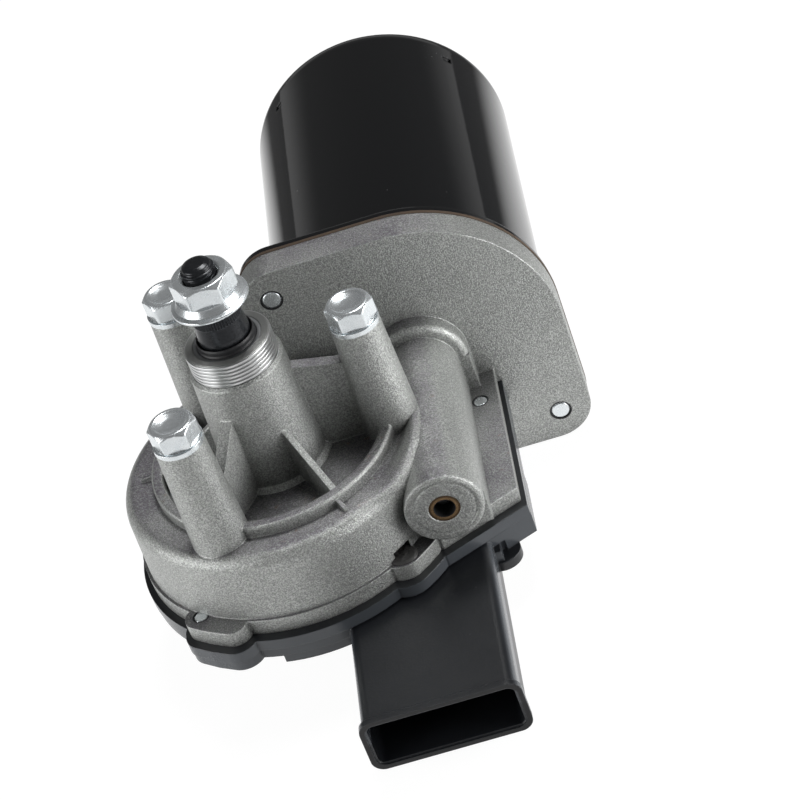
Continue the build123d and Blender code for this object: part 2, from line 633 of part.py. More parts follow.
def shaft_clip():
    base = BUSH_TOP + CLIP_WASHER_THICK
    top = base + CLIP_THICK - SLIDE_GAP
    ring = tube(BUSH_RADIUS - CLIP_GROOVE, SHAFT_RADIUS - CLIP_GROOVE, base, top)
    return ring - block(0, BUSH_RADIUS, -CLIP_THICK, CLIP_THICK, base, top)


def flange_nut():
    """Flanged hexagon nut on the shaft thread."""
    top = NUT_BASE + NUT_HEIGHT
    corner = NUT_ACROSS_FLATS / math.sqrt(3)
    skirt = turned([
        (0, NUT_BASE), (NUT_FLANGE_RADIUS, NUT_BASE), (NUT_FLANGE_RADIUS, NUT_BASE + NUT_FLANGE_EDGE),
        (corner - CLIP_GROOVE, NUT_BASE + NUT_SKIRT), (0, NUT_BASE + NUT_SKIRT),
    ])
    nut = hexagon(NUT_ACROSS_FLATS, NUT_BASE, top) + skirt - rod(SHAFT_THREAD_RADIUS, NUT_BASE, top)
    return nut - cone(SHAFT_THREAD_RADIUS, SHAFT_THREAD_RADIUS + NUT_MOUTH, top - NUT_MOUTH, top)


# ---------------------------------------------------------------- bushes, seal, bearing
def upper_bush():
    return tube(BUSH_RADIUS, SHAFT_RADIUS + FIT_GAP, BUSH_TOP - UPPER_BUSH_LENGTH, BUSH_TOP)


def lower_bush():
    return tube(BUSH_RADIUS, SHAFT_RADIUS + FIT_GAP, POCKET_CEILING, POCKET_CEILING + LOWER_BUSH_LENGTH)


def shaft_seal():
    inner = SHAFT_RADIUS + SLIDE_GAP
    base = SEAL_BASE + 2 * SLIDE_GAP
    top = COLLAR_TOP + SEAL_LIP_HEIGHT
    return turned([
        (inner, base), (BUSH_RADIUS, base), (BUSH_RADIUS, COLLAR_TOP), (SEAL_LIP_RADIUS, COLLAR_TOP),
        (SEAL_LIP_RADIUS, top - SEAL_EDGE), (SEAL_LIP_RADIUS - SEAL_EDGE, top), (inner, top),
    ])


def worm_bush():
    rear = TUNNEL_FRONT + WORM_BUSH_LENGTH
    return tube_y(WORM_BUSH_RADIUS, WORM_JOURNAL_RADIUS + FIT_GAP, TUNNEL_FRONT, rear)


def bearing_outer_ring():
    return tube_y(BEARING_RADIUS, BEARING_RACE_OUT_RADIUS, FLANGE_REAR - BEARING_WIDTH, FLANGE_REAR)


def bearing_inner_ring():
    return tube_y(BEARING_RACE_IN_RADIUS, WORM_SHAFT_RADIUS, FLANGE_REAR - BEARING_WIDTH, FLANGE_REAR)


def bearing_balls():
    middle = FLANGE_REAR - BEARING_WIDTH / 2
    radius = (BEARING_RACE_OUT_RADIUS - BEARING_RACE_IN_RADIUS - FIT_GAP) / 2
    balls = []
    for i in range(BEARING_BALLS):
        x, z = polar(BEARING_RACE_OUT_RADIUS - radius, 360 / BEARING_BALLS * i)
        balls.append(Pos(WORM_X + x, middle, WORM_Z + z) * Sphere(radius))
    return Compound(children=balls)


def bearing_retainer():
    outer, inner = BEARING_RADIUS + RETAINER_FLANGE, BEARING_RADIUS - RETAINER_GRIP
    return tube_y(outer, inner, FLANGE_REAR, FLANGE_REAR + RETAINER_THICK)


# ---------------------------------------------------------------- armature
def worm_section():
    """Plan section of a single-start worm: root arc, two spiral flanks and the tip arc."""
    tan_p = math.tan(math.radians(PRESSURE_ANGLE))
    half_thread = (WORM_LEAD / 2 - MESH_BACKLASH / 2) / 2
    tip = WORM_PITCH_RADIUS + TOOTH_ADDENDUM
    root = WORM_PITCH_RADIUS - TOOTH_DEDENDUM + SLIDE_GAP / 2

    def flank(radius):
        half = half_thread - (radius - WORM_PITCH_RADIUS) * tan_p
        return 360 * half / WORM_LEAD

    steps = [root + (tip - root) * i / 5 for i in range(6)]
    rise = [polar(r, 180 - flank(r)) for r in steps]
    fall = [polar(r, 180 + flank(r)) for r in steps]
    outline = [
        Spline(*rise),
        ThreePointArc(rise[-1], polar(tip, 180), fall[-1]),
        Spline(*reversed(fall)),
        ThreePointArc(fall[0], polar(root, 0), rise[0]),
    ]
    return make_face(outline)


def worm_thread():
    turns = WORM_LENGTH / WORM_LEAD
    start = Rot(0, 0, -180 * turns) * worm_section()
    thread = Solid.extrude_linear_with_rotation(
        start.face(), center=(0, 0, 0), normal=(0, 0, WORM_LENGTH), angle=360 * turns
    )
    return Pos(0, 0, -WORM_LENGTH / 2) * Part(thread.wrapped)


def armature_shaft():
    root = WORM_PITCH_RADIUS - TOOTH_DEDENDUM
    front = TUNNEL_FRONT + JOURNAL_START
    shoulder = TUNNEL_FRONT + WORM_BUSH_LENGTH + CLIP_GROOVE
    seat = WORM_LENGTH / 2 + WORM_LAND
    rear = CUP_FLOOR - REAR_END_PLAY
    edge = JOURNAL_CHAMFER
    core = turned([
        (0, front), (WORM_JOURNAL_RADIUS - edge, front), (WORM_JOURNAL_RADIUS, front + edge),
        (WORM_JOURNAL_RADIUS, shoulder), (root, shoulder), (root, seat),
        (WORM_SHAFT_RADIUS, seat + SHAFT_STEP), (WORM_SHAFT_RADIUS, rear - edge),
        (WORM_SHAFT_RADIUS - edge, rear), (0, rear),
    ])
    return along_y(core + worm_thread())


def core_slot(liner=0.0):
    """Pear-shaped pocket of one armature slot, wider towards the rim."""
    inner_x, inner_half = CORE_RADIUS / 2, SLOT_INNER_HALF - liner
    outer_x, outer_half = CORE_RADIUS - SLOT_OUTER_HALF - SLOT_LIP, SLOT_OUTER_HALF - liner
    pocket = Pos(inner_x, 0) * Circle(inner_half) + Pos(outer_x, 0) * Circle(outer_half)
    sides = [(inner_x, -inner_half), (outer_x, -outer_half), (outer_x, outer_half), (inner_x, inner_half)]
    return pocket + make_face(Polyline(sides, close=True))


def lamination_stack():
    section = Circle(CORE_RADIUS) - Circle(WORM_SHAFT_RADIUS)
    mouth = Pos(CORE_RADIUS, 0) * Rectangle(2 * SLOT_OUTER_HALF, SLOT_MOUTH)
    for i in range(CORE_SLOTS):
        section -= Rot(0, 0, 360 / CORE_SLOTS * i) * (core_slot() + mouth)
    return along_y(slab(section, CORE_FRONT, CORE_REAR))


def end_turns(face, length):
    """Round bundle of end turns on one face of the core, running the given way."""
    edge = CORE_RADIUS - END_TURN_SLOPE
    return turned([
        (WORM_SHAFT_RADIUS, face), (edge, face), (edge - END_TURN_SLOPE / 2, face + length * 0.7),
        (END_TURN_RADIUS, face + length), (WORM_SHAFT_RADIUS, face + length),
    ])


def armature_windings():
    """Copper in the slots and the round end-turn bundles at both ends of the core."""
    fill = Sketch()
    for i in range(CORE_SLOTS):
        fill += Rot(0, 0, 360 / CORE_SLOTS * i) * core_slot(SLOT_LINER)
    bundles = end_turns(CORE_FRONT, -END_TURN_FRONT) + end_turns(CORE_REAR, END_TURN_REAR)
    return along_y(slab(fill, CORE_FRONT - WALL_BITE / 2, CORE_REAR + WALL_BITE / 2) + bundles)


def commutator_bars():
    outer = COMMUTATOR_RADIUS + COMMUTATOR_RISER
    bars = tube(COMMUTATOR_RADIUS, COMMUTATOR_CORE, COMMUTATOR_FRONT, COMMUTATOR_REAR)
    bars += tube(outer, COMMUTATOR_CORE, COMMUTATOR_REAR - 1.5 * COMMUTATOR_RISER, COMMUTATOR_REAR)
    half = COMMUTATOR_SLIT / 2
    for i in range(CORE_SLOTS):
        slit = block(0, outer + half, -half, half, COMMUTATOR_FRONT, COMMUTATOR_REAR)
        bars -= Rot(0, 0, 360 / CORE_SLOTS * i) * slit
    return along_y(bars)


def commutator_core():
    rear = CORE_FRONT - END_TURN_FRONT
    return tube_y(COMMUTATOR_CORE, WORM_SHAFT_RADIUS, COMMUTATOR_FRONT - COMMUTATOR_SLIT, rear)


# ---------------------------------------------------------------- motor can and field
def motor_can():
    shell = rod(CAN_RADIUS, CAN_FLANGE_FRONT, CAN_END)
    shell = fillet(shell.edges().sort_by(Axis.Z)[-1], CAN_END_ROUND)
    shell += rod(CAN_CUP_RADIUS, CAN_END - CAN_WALL, CAN_END + CAN_CUP_DEPTH)
    hollow = rod(CAN_BORE, CAN_FLANGE_FRONT, CAN_END - CAN_WALL)
    hollow = fillet(hollow.edges().sort_by(Axis.Z)[-1], CAN_END_ROUND - CAN_WALL)
    hollow += rod(CUP_RADIUS, CAN_END - 2 * CAN_WALL, CUP_FLOOR)
    can = along_y(shell) + flange_plate(CAN_FLANGE_FRONT, CAN_FLANGE_REAR, -CAN_FLANGE_INSET)
    can -= along_y(hollow)
    for x, z in can_screw_places():
        can -= rod_y(CAN_SCREW_RADIUS, CAN_FLANGE_FRONT, CAN_FLANGE_REAR, x, z)
    low = CAN_END - TAB_BACK - TAB_LENGTH / 2
    for angle in TAB_ANGLES:
        for grow in (-TAB_SINK / 2, 0):
            high = low + TAB_LENGTH
            tab = (TAB_WIDTH + 2 * grow, low - grow, high + grow, -angle)
            if grow:
                can += radial_box(CAN_BORE - TAB_SINK, CAN_BORE + CAN_WALL / 2, *tab)
            else:
                can -= radial_box(CAN_RADIUS - TAB_SINK, CAN_RADIUS + TAB_SINK, *tab)
    return can


def can_gasket():
    gasket = flange_plate(FLANGE_REAR, CAN_FLANGE_FRONT, SLIDE_GAP)
    gasket -= rod_y(SPIGOT_RADIUS, FLANGE_REAR, CAN_FLANGE_FRONT)
    for x, z in can_screw_places():
        gasket -= rod_y(CAN_SCREW_RADIUS, FLANGE_REAR, CAN_FLANGE_FRONT, x, z)
    return gasket


def can_screws():
    screws = []
    for x, z in can_screw_places():
        shank = rod(CAN_SCREW_RADIUS, FLANGE_FRONT, CAN_FLANGE_REAR + WALL_BITE)
        head = hexagon(CAN_SCREW_HEAD, CAN_FLANGE_REAR, CAN_FLANGE_REAR + CAN_SCREW_HEAD_HEIGHT)
        screws.append(along_y(shank + head, x, z))
    return Compound(children=screws)


def ring_sector(outer, inner, front, rear, middle, span):
    """Part of a ring round the can axis, centred on an angle in the XZ view."""
    wedge = make_face([
        Line((0, 0), polar(outer * 1.6, -span / 2)),
        ThreePointArc(polar(outer * 1.6, -span / 2), (outer * 1.6, 0), polar(outer * 1.6, span / 2)),
        Line(polar(outer * 1.6, span / 2), (0, 0)),
    ])
    sector = (Circle(outer) - Circle(inner)) & wedge
    return along_y(Rot(0, 0, middle) * slab(sector, front, rear))


def field_magnets():
    return Compound(children=[
        ring_sector(CAN_BORE, MAGNET_INNER, MAGNET_FRONT, MAGNET_REAR, angle, MAGNET_ARC)
        for angle in (90, 270)
    ])


def magnet_clips():
    gap = 180 - MAGNET_ARC
    front, rear = CORE_FRONT, CORE_REAR
    ear = math.degrees(MAGNET_CLIP_THICK / CAN_BORE)
    clips = []
    for angle in (0, 180):
        plate = ring_sector(CAN_BORE, CAN_BORE - MAGNET_CLIP_THICK, front, rear, angle, gap - ear / 4)
        for side in (-1, 1):
            middle = angle + side * (gap / 2 - ear)
            plate += ring_sector(CAN_BORE, CAN_BORE - MAGNET_CLIP_REACH, front, rear, middle, 1.3 * ear)
        clips.append(plate)
    return Compound(children=clips)


def rear_bush():
    bore = WORM_SHAFT_RADIUS + FIT_GAP
    rear = CUP_FLOOR - REAR_END_PLAY
    front = rear - REAR_BUSH_LENGTH
    return along_y(turned([
        (bore, front), (CUP_RADIUS - REAR_BUSH_BALL, front), (CUP_RADIUS, front + REAR_BUSH_BALL),
        (CUP_RADIUS, rear - REAR_BUSH_BALL / 2), (CUP_RADIUS - REAR_BUSH_BALL / 2, rear), (bore, rear),
    ]))


def rear_bush_clip():
    """Star spring that holds the rear bush in the can's cup."""
    wall = CAN_END - CAN_WALL
    front = CUP_FLOOR - REAR_END_PLAY - REAR_BUSH_LENGTH
    thick = CLIP_SPRING_THICK
    seat = CUP_RADIUS - REAR_BUSH_BALL
    rim = CUP_RADIUS + CLIP_SPRING_REACH
    bend = rim - CLIP_SPRING_REACH / 3
    return along_y(turned([
        (seat, front), (seat, front - thick), (seat + 2 * thick, front - thick),
        (bend, wall - thick), (rim, wall - thick), (rim, wall),
        (bend - thick, wall), (seat + thick, front),
    ]))


def thrust_pad():
    return rod_y(CUP_RADIUS - 2 * SLIDE_GAP, CUP_FLOOR - THRUST_PAD_THICK, CUP_FLOOR)


# ---------------------------------------------------------------- brush gear
def brush_card():
    card = tube_y(SPIGOT_RADIUS, COMMUTATOR_RADIUS + CHOKE_RADIUS, CARD_FRONT, CARD_REAR)
    for x, z in lead_places():
        card -= rod_y(LEAD_RADIUS, CARD_FRONT, CARD_REAR, x, z)
    return card


def lead_places():
    return [(LEAD_FIRST_X + LEAD_PITCH * i, RIM_TOP + LEAD_HEIGHT) for i in range(LEADS)]


def motor_leads():
    start = FLANGE_FRONT - LEAD_START
    end = CARD_REAR + LEAD_SPLICE
    return Compound(children=[rod_y(LEAD_RADIUS, start, end, x, z) for x, z in lead_places()])


def radial_box(inner, outer, width, low, high, angle):
    """Block lying along a radius of the armature, between two places along the can."""
    piece = block(inner, outer, -width / 2, width / 2, low, high)
    return along_y(Rot(0, 0, angle) * piece)


def carbon_brushes():
    start = COMMUTATOR_RADIUS + SLIDE_GAP
    high = BRUSH_LOW + BRUSH_HEIGHT
    bore = rod_y(start, BRUSH_LOW, high)
    brushes = []
    for angle in BRUSH_ANGLES:
        bar = radial_box(start - WALL_BITE, start + BRUSH_LENGTH, BRUSH_WIDTH, BRUSH_LOW, high, angle)
        brushes.append(bar - bore)
    return Compound(children=brushes)


def brush_holders():
    start = COMMUTATOR_RADIUS + HOLDER_START
    end = start + BRUSH_LENGTH + HOLDER_START
    width = BRUSH_WIDTH + SLIDE_GAP
    high = BRUSH_LOW + BRUSH_HEIGHT + SLIDE_GAP / 2
    boxes = []
    for angle in BRUSH_ANGLES:
        outer = radial_box(start, end, width + 2 * HOLDER_WALL, CARD_REAR, high + HOLDER_WALL, angle)
        boxes.append(outer - radial_box(start, end, width, BRUSH_LOW - SLIDE_GAP / 2, high, angle))
    return Compound(children=boxes)


def brush_springs():
    """Coiled springs behind the brushes, inside the holders."""
    start = COMMUTATOR_RADIUS + SLIDE_GAP + BRUSH_LENGTH + SPRING_RADIUS
    low, high = BRUSH_LOW + SPRING_INSET, BRUSH_LOW + BRUSH_HEIGHT - SPRING_INSET
    springs = []
    for angle in BRUSH_ANGLES:
        coil = Pos(start, 0, 0) * tube(SPRING_RADIUS, SPRING_RADIUS - SPRING_THICK, low, high)
        springs.append(along_y(Rot(0, 0, angle) * coil))
    return Compound(children=springs)


def radio_chokes():
    chokes = []
    for angle in CHOKE_ANGLES:
        core = Cylinder(CHOKE_CORE_RADIUS, CHOKE_CORE_LENGTH) + Cylinder(CHOKE_RADIUS, CHOKE_LENGTH)
        choke = Pos(CHOKE_PLACE, 0, CARD_REAR + CHOKE_RADIUS) * (Rot(90, 0, 0) * core)
        chokes.append(along_y(Rot(0, 0, angle) * choke))
    return Compound(children=chokes)


def suppression_capacitor():
    inner, outer, width, height, angle = CAPACITOR
    return radial_box(inner, outer, width, CARD_REAR, CARD_REAR + height, angle)


def thermal_breaker():
    inner, outer, width, height, angle = BREAKER
    return radial_box(inner, outer, width, CARD_REAR, CARD_REAR + height, angle)


# ---------------------------------------------------------------- cover and its electrics
def shroud_section(grow, rounding, front, rear):
    """Rounded rectangle of the connector shroud, grown and run from front to rear."""
    width = SHROUD_RIGHT - SHROUD_LEFT + 2 * grow
    height = SHROUD_TOP - SHROUD_BOTTOM + 2 * grow
    sketch = Pos(SHROUD_MIDDLE, SHROUD_LEVEL) * RectangleRounded(width, height, rounding)
    return Pos(0, front, 0) * extrude(Plane.XZ * sketch, -(rear - front))


def terminal_x():
    return [SHROUD_MIDDLE + TERMINAL_PITCH * (i - (TERMINALS - 1) / 2) for i in range(TERMINALS)]


def terminal(x):
    """Blade that runs out into the shroud and turns up into the cover."""
    half, thick = TERMINAL_WIDTH / 2, TERMINAL_THICK / 2
    low, high = SHROUD_LEVEL - thick, SHROUD_LEVEL + thick
    flat = block(x - half, x + half, SHROUD_MOUTH + TERMINAL_TIP, TERMINAL_BEND_Y, low, high)
    rise_front = TERMINAL_BEND_Y - TERMINAL_THICK
    return flat + block(x - half, x + half, rise_front, TERMINAL_BEND_Y, low, COVER_INNER_FLOOR + TERMINAL_RISE)


def connector_terminals():
    return Compound(children=[terminal(x) for x in terminal_x()])


def cover_step():
    """Lower step round the front of the cover, with its tongue, notch and round foot."""
    low = COVER_BASE - COVER_STEP
    left, right, front = COVER_STEP_TONGUE
    reach = RIM_RADIUS + WING_RIGHT
    plate = slab(rim_outline(COVER_STEP_GROW), low, COVER_BASE)
    body = plate & block(COVER_STEP_LEFT, left, -reach, 0, low, COVER_BASE)
    plate = slab(rim_outline(COVER_OVERHANG), low, COVER_BASE)
    body += plate & block(left, reach, -reach, 0, low, COVER_BASE)
    body += block(left, right, front, WING_CORNER, low, COVER_BASE)
    body -= block(right, right + COVER_NOTCH, front, front + 3 * COVER_NOTCH, low, COVER_BASE)
    return body + rod(COVER_FOOT_RADIUS, low - COVER_FOOT_HEIGHT, low, *COVER_FOOT_PLACE)


def cover_pocket():
    """Room for the electrics: round under the drum and into the wing, round the screw boss."""
    pocket = rod(RIM_RADIUS - COVER_WALL, COVER_INNER_FLOOR, COVER_SEAT, -DRUM_SHIFT)
    pocket += slab(wing_outline(-COVER_WALL), COVER_INNER_FLOOR, COVER_SEAT)
    return pocket - rod(COVER_SCREW_BOSS, COVER_INNER_FLOOR, COVER_SEAT, *COVER_SCREW_PLACES[-1])


def gear_cover():
    seam_top = COVER_SEAT - COVER_SEAM_DEPTH
    body = slab(rim_outline(COVER_OVERHANG), seam_top, COVER_SEAT)
    body += Pos(0, -COVER_LEDGE, 0) * slab(rim_outline(COVER_OVERHANG), seam_top, COVER_SEAT)
    body += slab(rim_outline(COVER_OVERHANG - COVER_SEAM), seam_top - COVER_SEAM, seam_top)
    body += slab(rim_outline(COVER_OVERHANG), COVER_BASE, seam_top - COVER_SEAM)
    body -= rear_clearance(COVER_BASE, COVER_SEAT)
    flange_left = WORM_X - FLANGE_SIZE / 2 - WALL_BITE
    body -= block(flange_left, WING_RIGHT + RIM_RADIUS, FLANGE_FRONT, FLANGE_REAR, COVER_BASE, RIM_TOP)
    body += cover_step()
    body += shroud_section(0, SHROUD_ROUND, SHROUD_MOUTH, SHROUD_REAR)
    bead_rear = SHROUD_MOUTH + SHROUD_BEAD_LENGTH
    body += shroud_section(SHROUD_BEAD, SHROUD_ROUND + SHROUD_BEAD, SHROUD_MOUTH, bead_rear)
    body -= cover_pocket()
    body -= shroud_section(-SHROUD_WALL, SHROUD_ROUND - SHROUD_WALL, SHROUD_MOUTH, SHROUD_BACK)
    body -= shroud_section(SHROUD_FLARE - SHROUD_WALL, SHROUD_ROUND, SHROUD_MOUTH, SHROUD_MOUTH + SHROUD_FLARE)
    body += rod(SHAFT_FOOT_RADIUS + COVER_FLOOR, COVER_INNER_FLOOR - WALL_BITE, PAD_SEAT)
    for x, y in COVER_SCREW_PLACES:
        body -= rod(COVER_SCREW_RADIUS, COVER_BASE, COVER_SEAT, x, y)
    for x in terminal_x():
        body -= terminal(x)
    peg = (COVER_SEAT - WALL_BITE, COVER_SEAT + PEG_LENGTH)
    return body + rod(PEG_HOLE_RADIUS - SLIDE_GAP, *peg, *PEG_PLACE)


def cover_screws():
    screws = []
    edge = COVER_BASE - SCREW_HEAD_EDGE
    for x, y in COVER_SCREW_PLACES:
        head = rod(COVER_SCREW_HEAD_RADIUS, edge, COVER_BASE, x, y)
        head += cone(SCREW_HEAD_TOP, COVER_SCREW_HEAD_RADIUS, COVER_BASE - SCREW_HEAD_HEIGHT, edge, x, y)
        screws.append(rod(COVER_SCREW_RADIUS, edge, RIM_TOP, x, y) + head)
    return Compound(children=screws)


def shaft_thrust_pad():
    return rod(SHAFT_FOOT_RADIUS + WALL_BITE, PAD_SEAT, SHAFT_FOOT - PAD_GAP)


def park_contacts():
    """Three spring fingers on the cover that wipe the park disc."""
    root_top = COVER_INNER_FLOOR + PARK_FOOT_HEIGHT
    tip_z = DISC_FACE - 3 * SLIDE_GAP
    half = PARK_FINGER_WIDTH / 2
    thick = PARK_STRIP_THICK
    bend = (PARK_FOOT_PLACE + 0.75 * PARK_FOOT_LENGTH, root_top - thick / 2)
    fingers = []
    for i, reach in enumerate(PARK_REACHES):
        foot = block(
            PARK_FOOT_PLACE, PARK_FOOT_PLACE + PARK_FOOT_LENGTH,
            -1.5 * half, 1.5 * half, COVER_INNER_FLOOR, root_top,
        )
        strip = [
            bend, (-reach, tip_z), (PARK_TIP - reach, tip_z - thick), (PARK_TIP - reach, tip_z - 2 * thick),
            (-reach, tip_z - thick), (bend[0] + thick, bend[1] - thick / 2),
        ]
        arm = extrude(Plane.XZ * make_face(Polyline(strip, close=True)), half, both=True)
        fingers.append(Pos(0, PARK_FINGER_PITCH * (i - 1), 0) * (foot + arm))
    return Compound(children=fingers)


# ---------------------------------------------------------------- mounting bolts
def mounting_bolts():
    top = WASHER_THICK + BOLT_HEAD_HEIGHT
    bolts = []
    for x, y in POST_PLACES:
        dish = Pos(0, 0, top + BOLT_DISH_RADIUS - BOLT_DISH) * Sphere(BOLT_DISH_RADIUS)
        head = hexagon(BOLT_ACROSS_FLATS, WASHER_THICK, top) - dish
        bolts.append(Pos(x, y, 0) * (head + rod(BOLT_RADIUS, -BOLT_DEPTH, WASHER_THICK)))
    return Compound(children=bolts)


def bolt_washers():
    return Compound(children=[tube(WASHER_RADIUS, BOLT_RADIUS, 0, WASHER_THICK, x, y) for x, y in POST_PLACES])


NODES = [
    gear_housing, upper_bush, lower_bush, shaft_seal, worm_bush,
    bearing_outer_ring, bearing_balls, bearing_retainer, gear_cover, connector_terminals,
    park_contacts, shaft_thrust_pad, cover_screws, mounting_bolts, bolt_washers,
    motor_can, can_gasket, can_screws, field_magnets, magnet_clips, rear_bush, rear_bush_clip, thrust_pad,
    brush_card, brush_holders, carbon_brushes, brush_springs, radio_chokes,
    suppression_capacitor, thermal_breaker, motor_leads,
    output_shaft, worm_wheel, park_disc, wheel_shim, clip_washer, shaft_clip, flange_nut,
    armature_shaft, bearing_inner_ring, lamination_stack, armature_windings, commutator_bars, commutator_core,
]


def main():
    os.makedirs("parts", exist_ok=True)
    for make in NODES:
        export_step(make(), f"parts/{make.__name__}.step")


main()
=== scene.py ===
import json
import math

import bpy
from bpy.props import FloatProperty, FloatVectorProperty, IntProperty, PointerProperty
from mathutils import Matrix, Vector, noise


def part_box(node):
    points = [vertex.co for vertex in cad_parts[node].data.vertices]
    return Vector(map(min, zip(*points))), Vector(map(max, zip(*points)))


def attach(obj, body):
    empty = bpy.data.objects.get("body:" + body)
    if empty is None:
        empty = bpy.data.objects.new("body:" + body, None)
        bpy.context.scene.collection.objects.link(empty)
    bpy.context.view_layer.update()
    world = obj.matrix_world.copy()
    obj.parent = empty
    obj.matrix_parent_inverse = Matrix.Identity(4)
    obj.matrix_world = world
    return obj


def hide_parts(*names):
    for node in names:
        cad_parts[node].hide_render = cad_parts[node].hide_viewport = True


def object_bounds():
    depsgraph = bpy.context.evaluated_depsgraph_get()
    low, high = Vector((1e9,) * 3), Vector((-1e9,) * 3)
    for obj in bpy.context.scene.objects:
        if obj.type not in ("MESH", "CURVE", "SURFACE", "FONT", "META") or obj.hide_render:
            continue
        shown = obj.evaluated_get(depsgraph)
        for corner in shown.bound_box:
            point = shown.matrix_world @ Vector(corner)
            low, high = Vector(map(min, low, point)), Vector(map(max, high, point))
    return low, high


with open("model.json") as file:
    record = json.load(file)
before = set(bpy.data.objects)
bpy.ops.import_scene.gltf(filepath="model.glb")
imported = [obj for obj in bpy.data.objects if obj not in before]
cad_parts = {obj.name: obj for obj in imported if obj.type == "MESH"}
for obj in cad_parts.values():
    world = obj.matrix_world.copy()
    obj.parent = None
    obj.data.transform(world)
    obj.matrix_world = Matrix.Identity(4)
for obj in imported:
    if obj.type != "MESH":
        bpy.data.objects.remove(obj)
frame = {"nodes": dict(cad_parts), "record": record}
NODES = frame["nodes"]
CAD_BOX = [list(corner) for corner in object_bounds()]

bl_info = {
    "name": "Wiper Motor",
    "version": (1, 0, 0),
    "blender": (4, 5, 0),
    "location": "View3D > Sidebar > Wiper Motor",
    "description": "Finishes and fine pieces of a windscreen wiper motor with worm gearbox",
    "category": "Object",
}

MM = 0.001


def mm(*values):
    """Millimetres to metres."""
    return tuple(v * MM for v in values)


# ---------------------------------------------------------------- places from the frame
NUT_LOW, NUT_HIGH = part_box("flange_nut")
SHAFT_LOW, SHAFT_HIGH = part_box("output_shaft")
BOLT_LOW, BOLT_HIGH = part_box("mounting_bolts")
WASHER_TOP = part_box("bolt_washers")[1].z
SEAL_LOW, SEAL_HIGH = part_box("shaft_seal")
CAN_LOW, CAN_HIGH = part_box("motor_can")
COVER_SCREW_LOW, COVER_SCREW_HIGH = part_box("cover_screws")
CAN_SCREW_LOW, CAN_SCREW_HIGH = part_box("can_screws")
WORM_AXIS = (CAN_LOW + CAN_HIGH) / 2

# the rest is in millimetres
POST_CIRCLE_RADIUS = 28.0
POST_POINTS = [
    (POST_CIRCLE_RADIUS * math.cos(math.radians(a)), POST_CIRCLE_RADIUS * math.sin(math.radians(a)), 0)
    for a in (0, 120, 240)
]
COVER_SCREW_POINTS = [(-24.9, -28.7, 0), (-19.2, 32.6, 0), (46.6, 18.2, 0)]
CAN_SCREW_FLATS = 8.0
CAN_SCREW_RADIUS = 4.62
CAN_SCREW_POINTS = [
    (CAN_SCREW_LOW.x / MM + CAN_SCREW_RADIUS, 0, CAN_SCREW_HIGH.z / MM - CAN_SCREW_FLATS / 2),
    (CAN_SCREW_HIGH.x / MM - CAN_SCREW_RADIUS, 0, CAN_SCREW_LOW.z / MM + CAN_SCREW_FLATS / 2),
]
PEG_POINT = (22.9, -28.0)
DRUM_MIDDLE_X = -0.9
TUNNEL_FRONT = -28.0
FLOOR_GAP = 0.2
FLOOR_REACH = 6000
CAMERA_PLACE = (97.48, -504.40, 360.08)


# ---------------------------------------------------------------- settings
COLOUR = {"size": 3, "subtype": "COLOR", "min": 0.0, "max": 1.0}


class MotorSizes(bpy.types.PropertyGroup):
    """Sizes of the fine pieces that are laid on the solid parts."""
    groove_count: IntProperty(
        name="Collar Grooves", description="Turned grooves round the pilot collar", default=6, min=1, max=12)
    groove_pitch: FloatProperty(
        name="Groove Pitch", description="Distance from groove to groove", default=0.00096, unit="LENGTH")
    groove_land: FloatProperty(
        name="Groove Land", description="Width of the land between two grooves", default=0.00072,
        unit="LENGTH")
    serrations: IntProperty(
        name="Serrations", description="Teeth round the shaft's serrated band", default=54, min=12, max=90)
    serration_depth: FloatProperty(
        name="Serration Depth", description="Depth of the shaft's serrations", default=0.00032, unit="LENGTH")
    thread_pitch: FloatProperty(
        name="Thread Pitch", description="Pitch of the shaft's thread", default=0.00125, unit="LENGTH")
    thread_depth: FloatProperty(
        name="Thread Depth", description="Depth of the shaft's thread", default=0.0007, unit="LENGTH")
    corner_round: FloatProperty(
        name="Hexagon Corner", description="How sharp the hexagon corners are", default=46.0,
        min=8.0, max=90.0)


class MotorFinish(bpy.types.PropertyGroup):
    """Colours of the finishes, and the light."""
    aluminium: FloatVectorProperty(
        name="Cast Aluminium", description="Shot-blasted casting", default=(0.408, 0.416, 0.406),
        **COLOUR)
    paint: FloatVectorProperty(
        name="Can Paint", description="Gloss black paint of the can", default=(0.0035, 0.0038, 0.0045),
        **COLOUR)
    plastic: FloatVectorProperty(
        name="Cover Plastic", description="Moulded cover and shroud", default=(0.007, 0.0078, 0.0098),
        **COLOUR)
    zinc: FloatVectorProperty(
        name="Zinc Plate", description="Bright zinc on nut, bolts and screws", default=(0.86, 0.89, 0.90),
        **COLOUR)
    gasket: FloatVectorProperty(
        name="Gasket", description="Brown fibre sheet between can and housing", default=(0.045, 0.030, 0.020),
        **COLOUR)
    lamp_power: FloatProperty(
        name="Lamp Power", description="Power of the main soft lamp, in watts", default=1.4, min=0.0,
        unit="POWER")


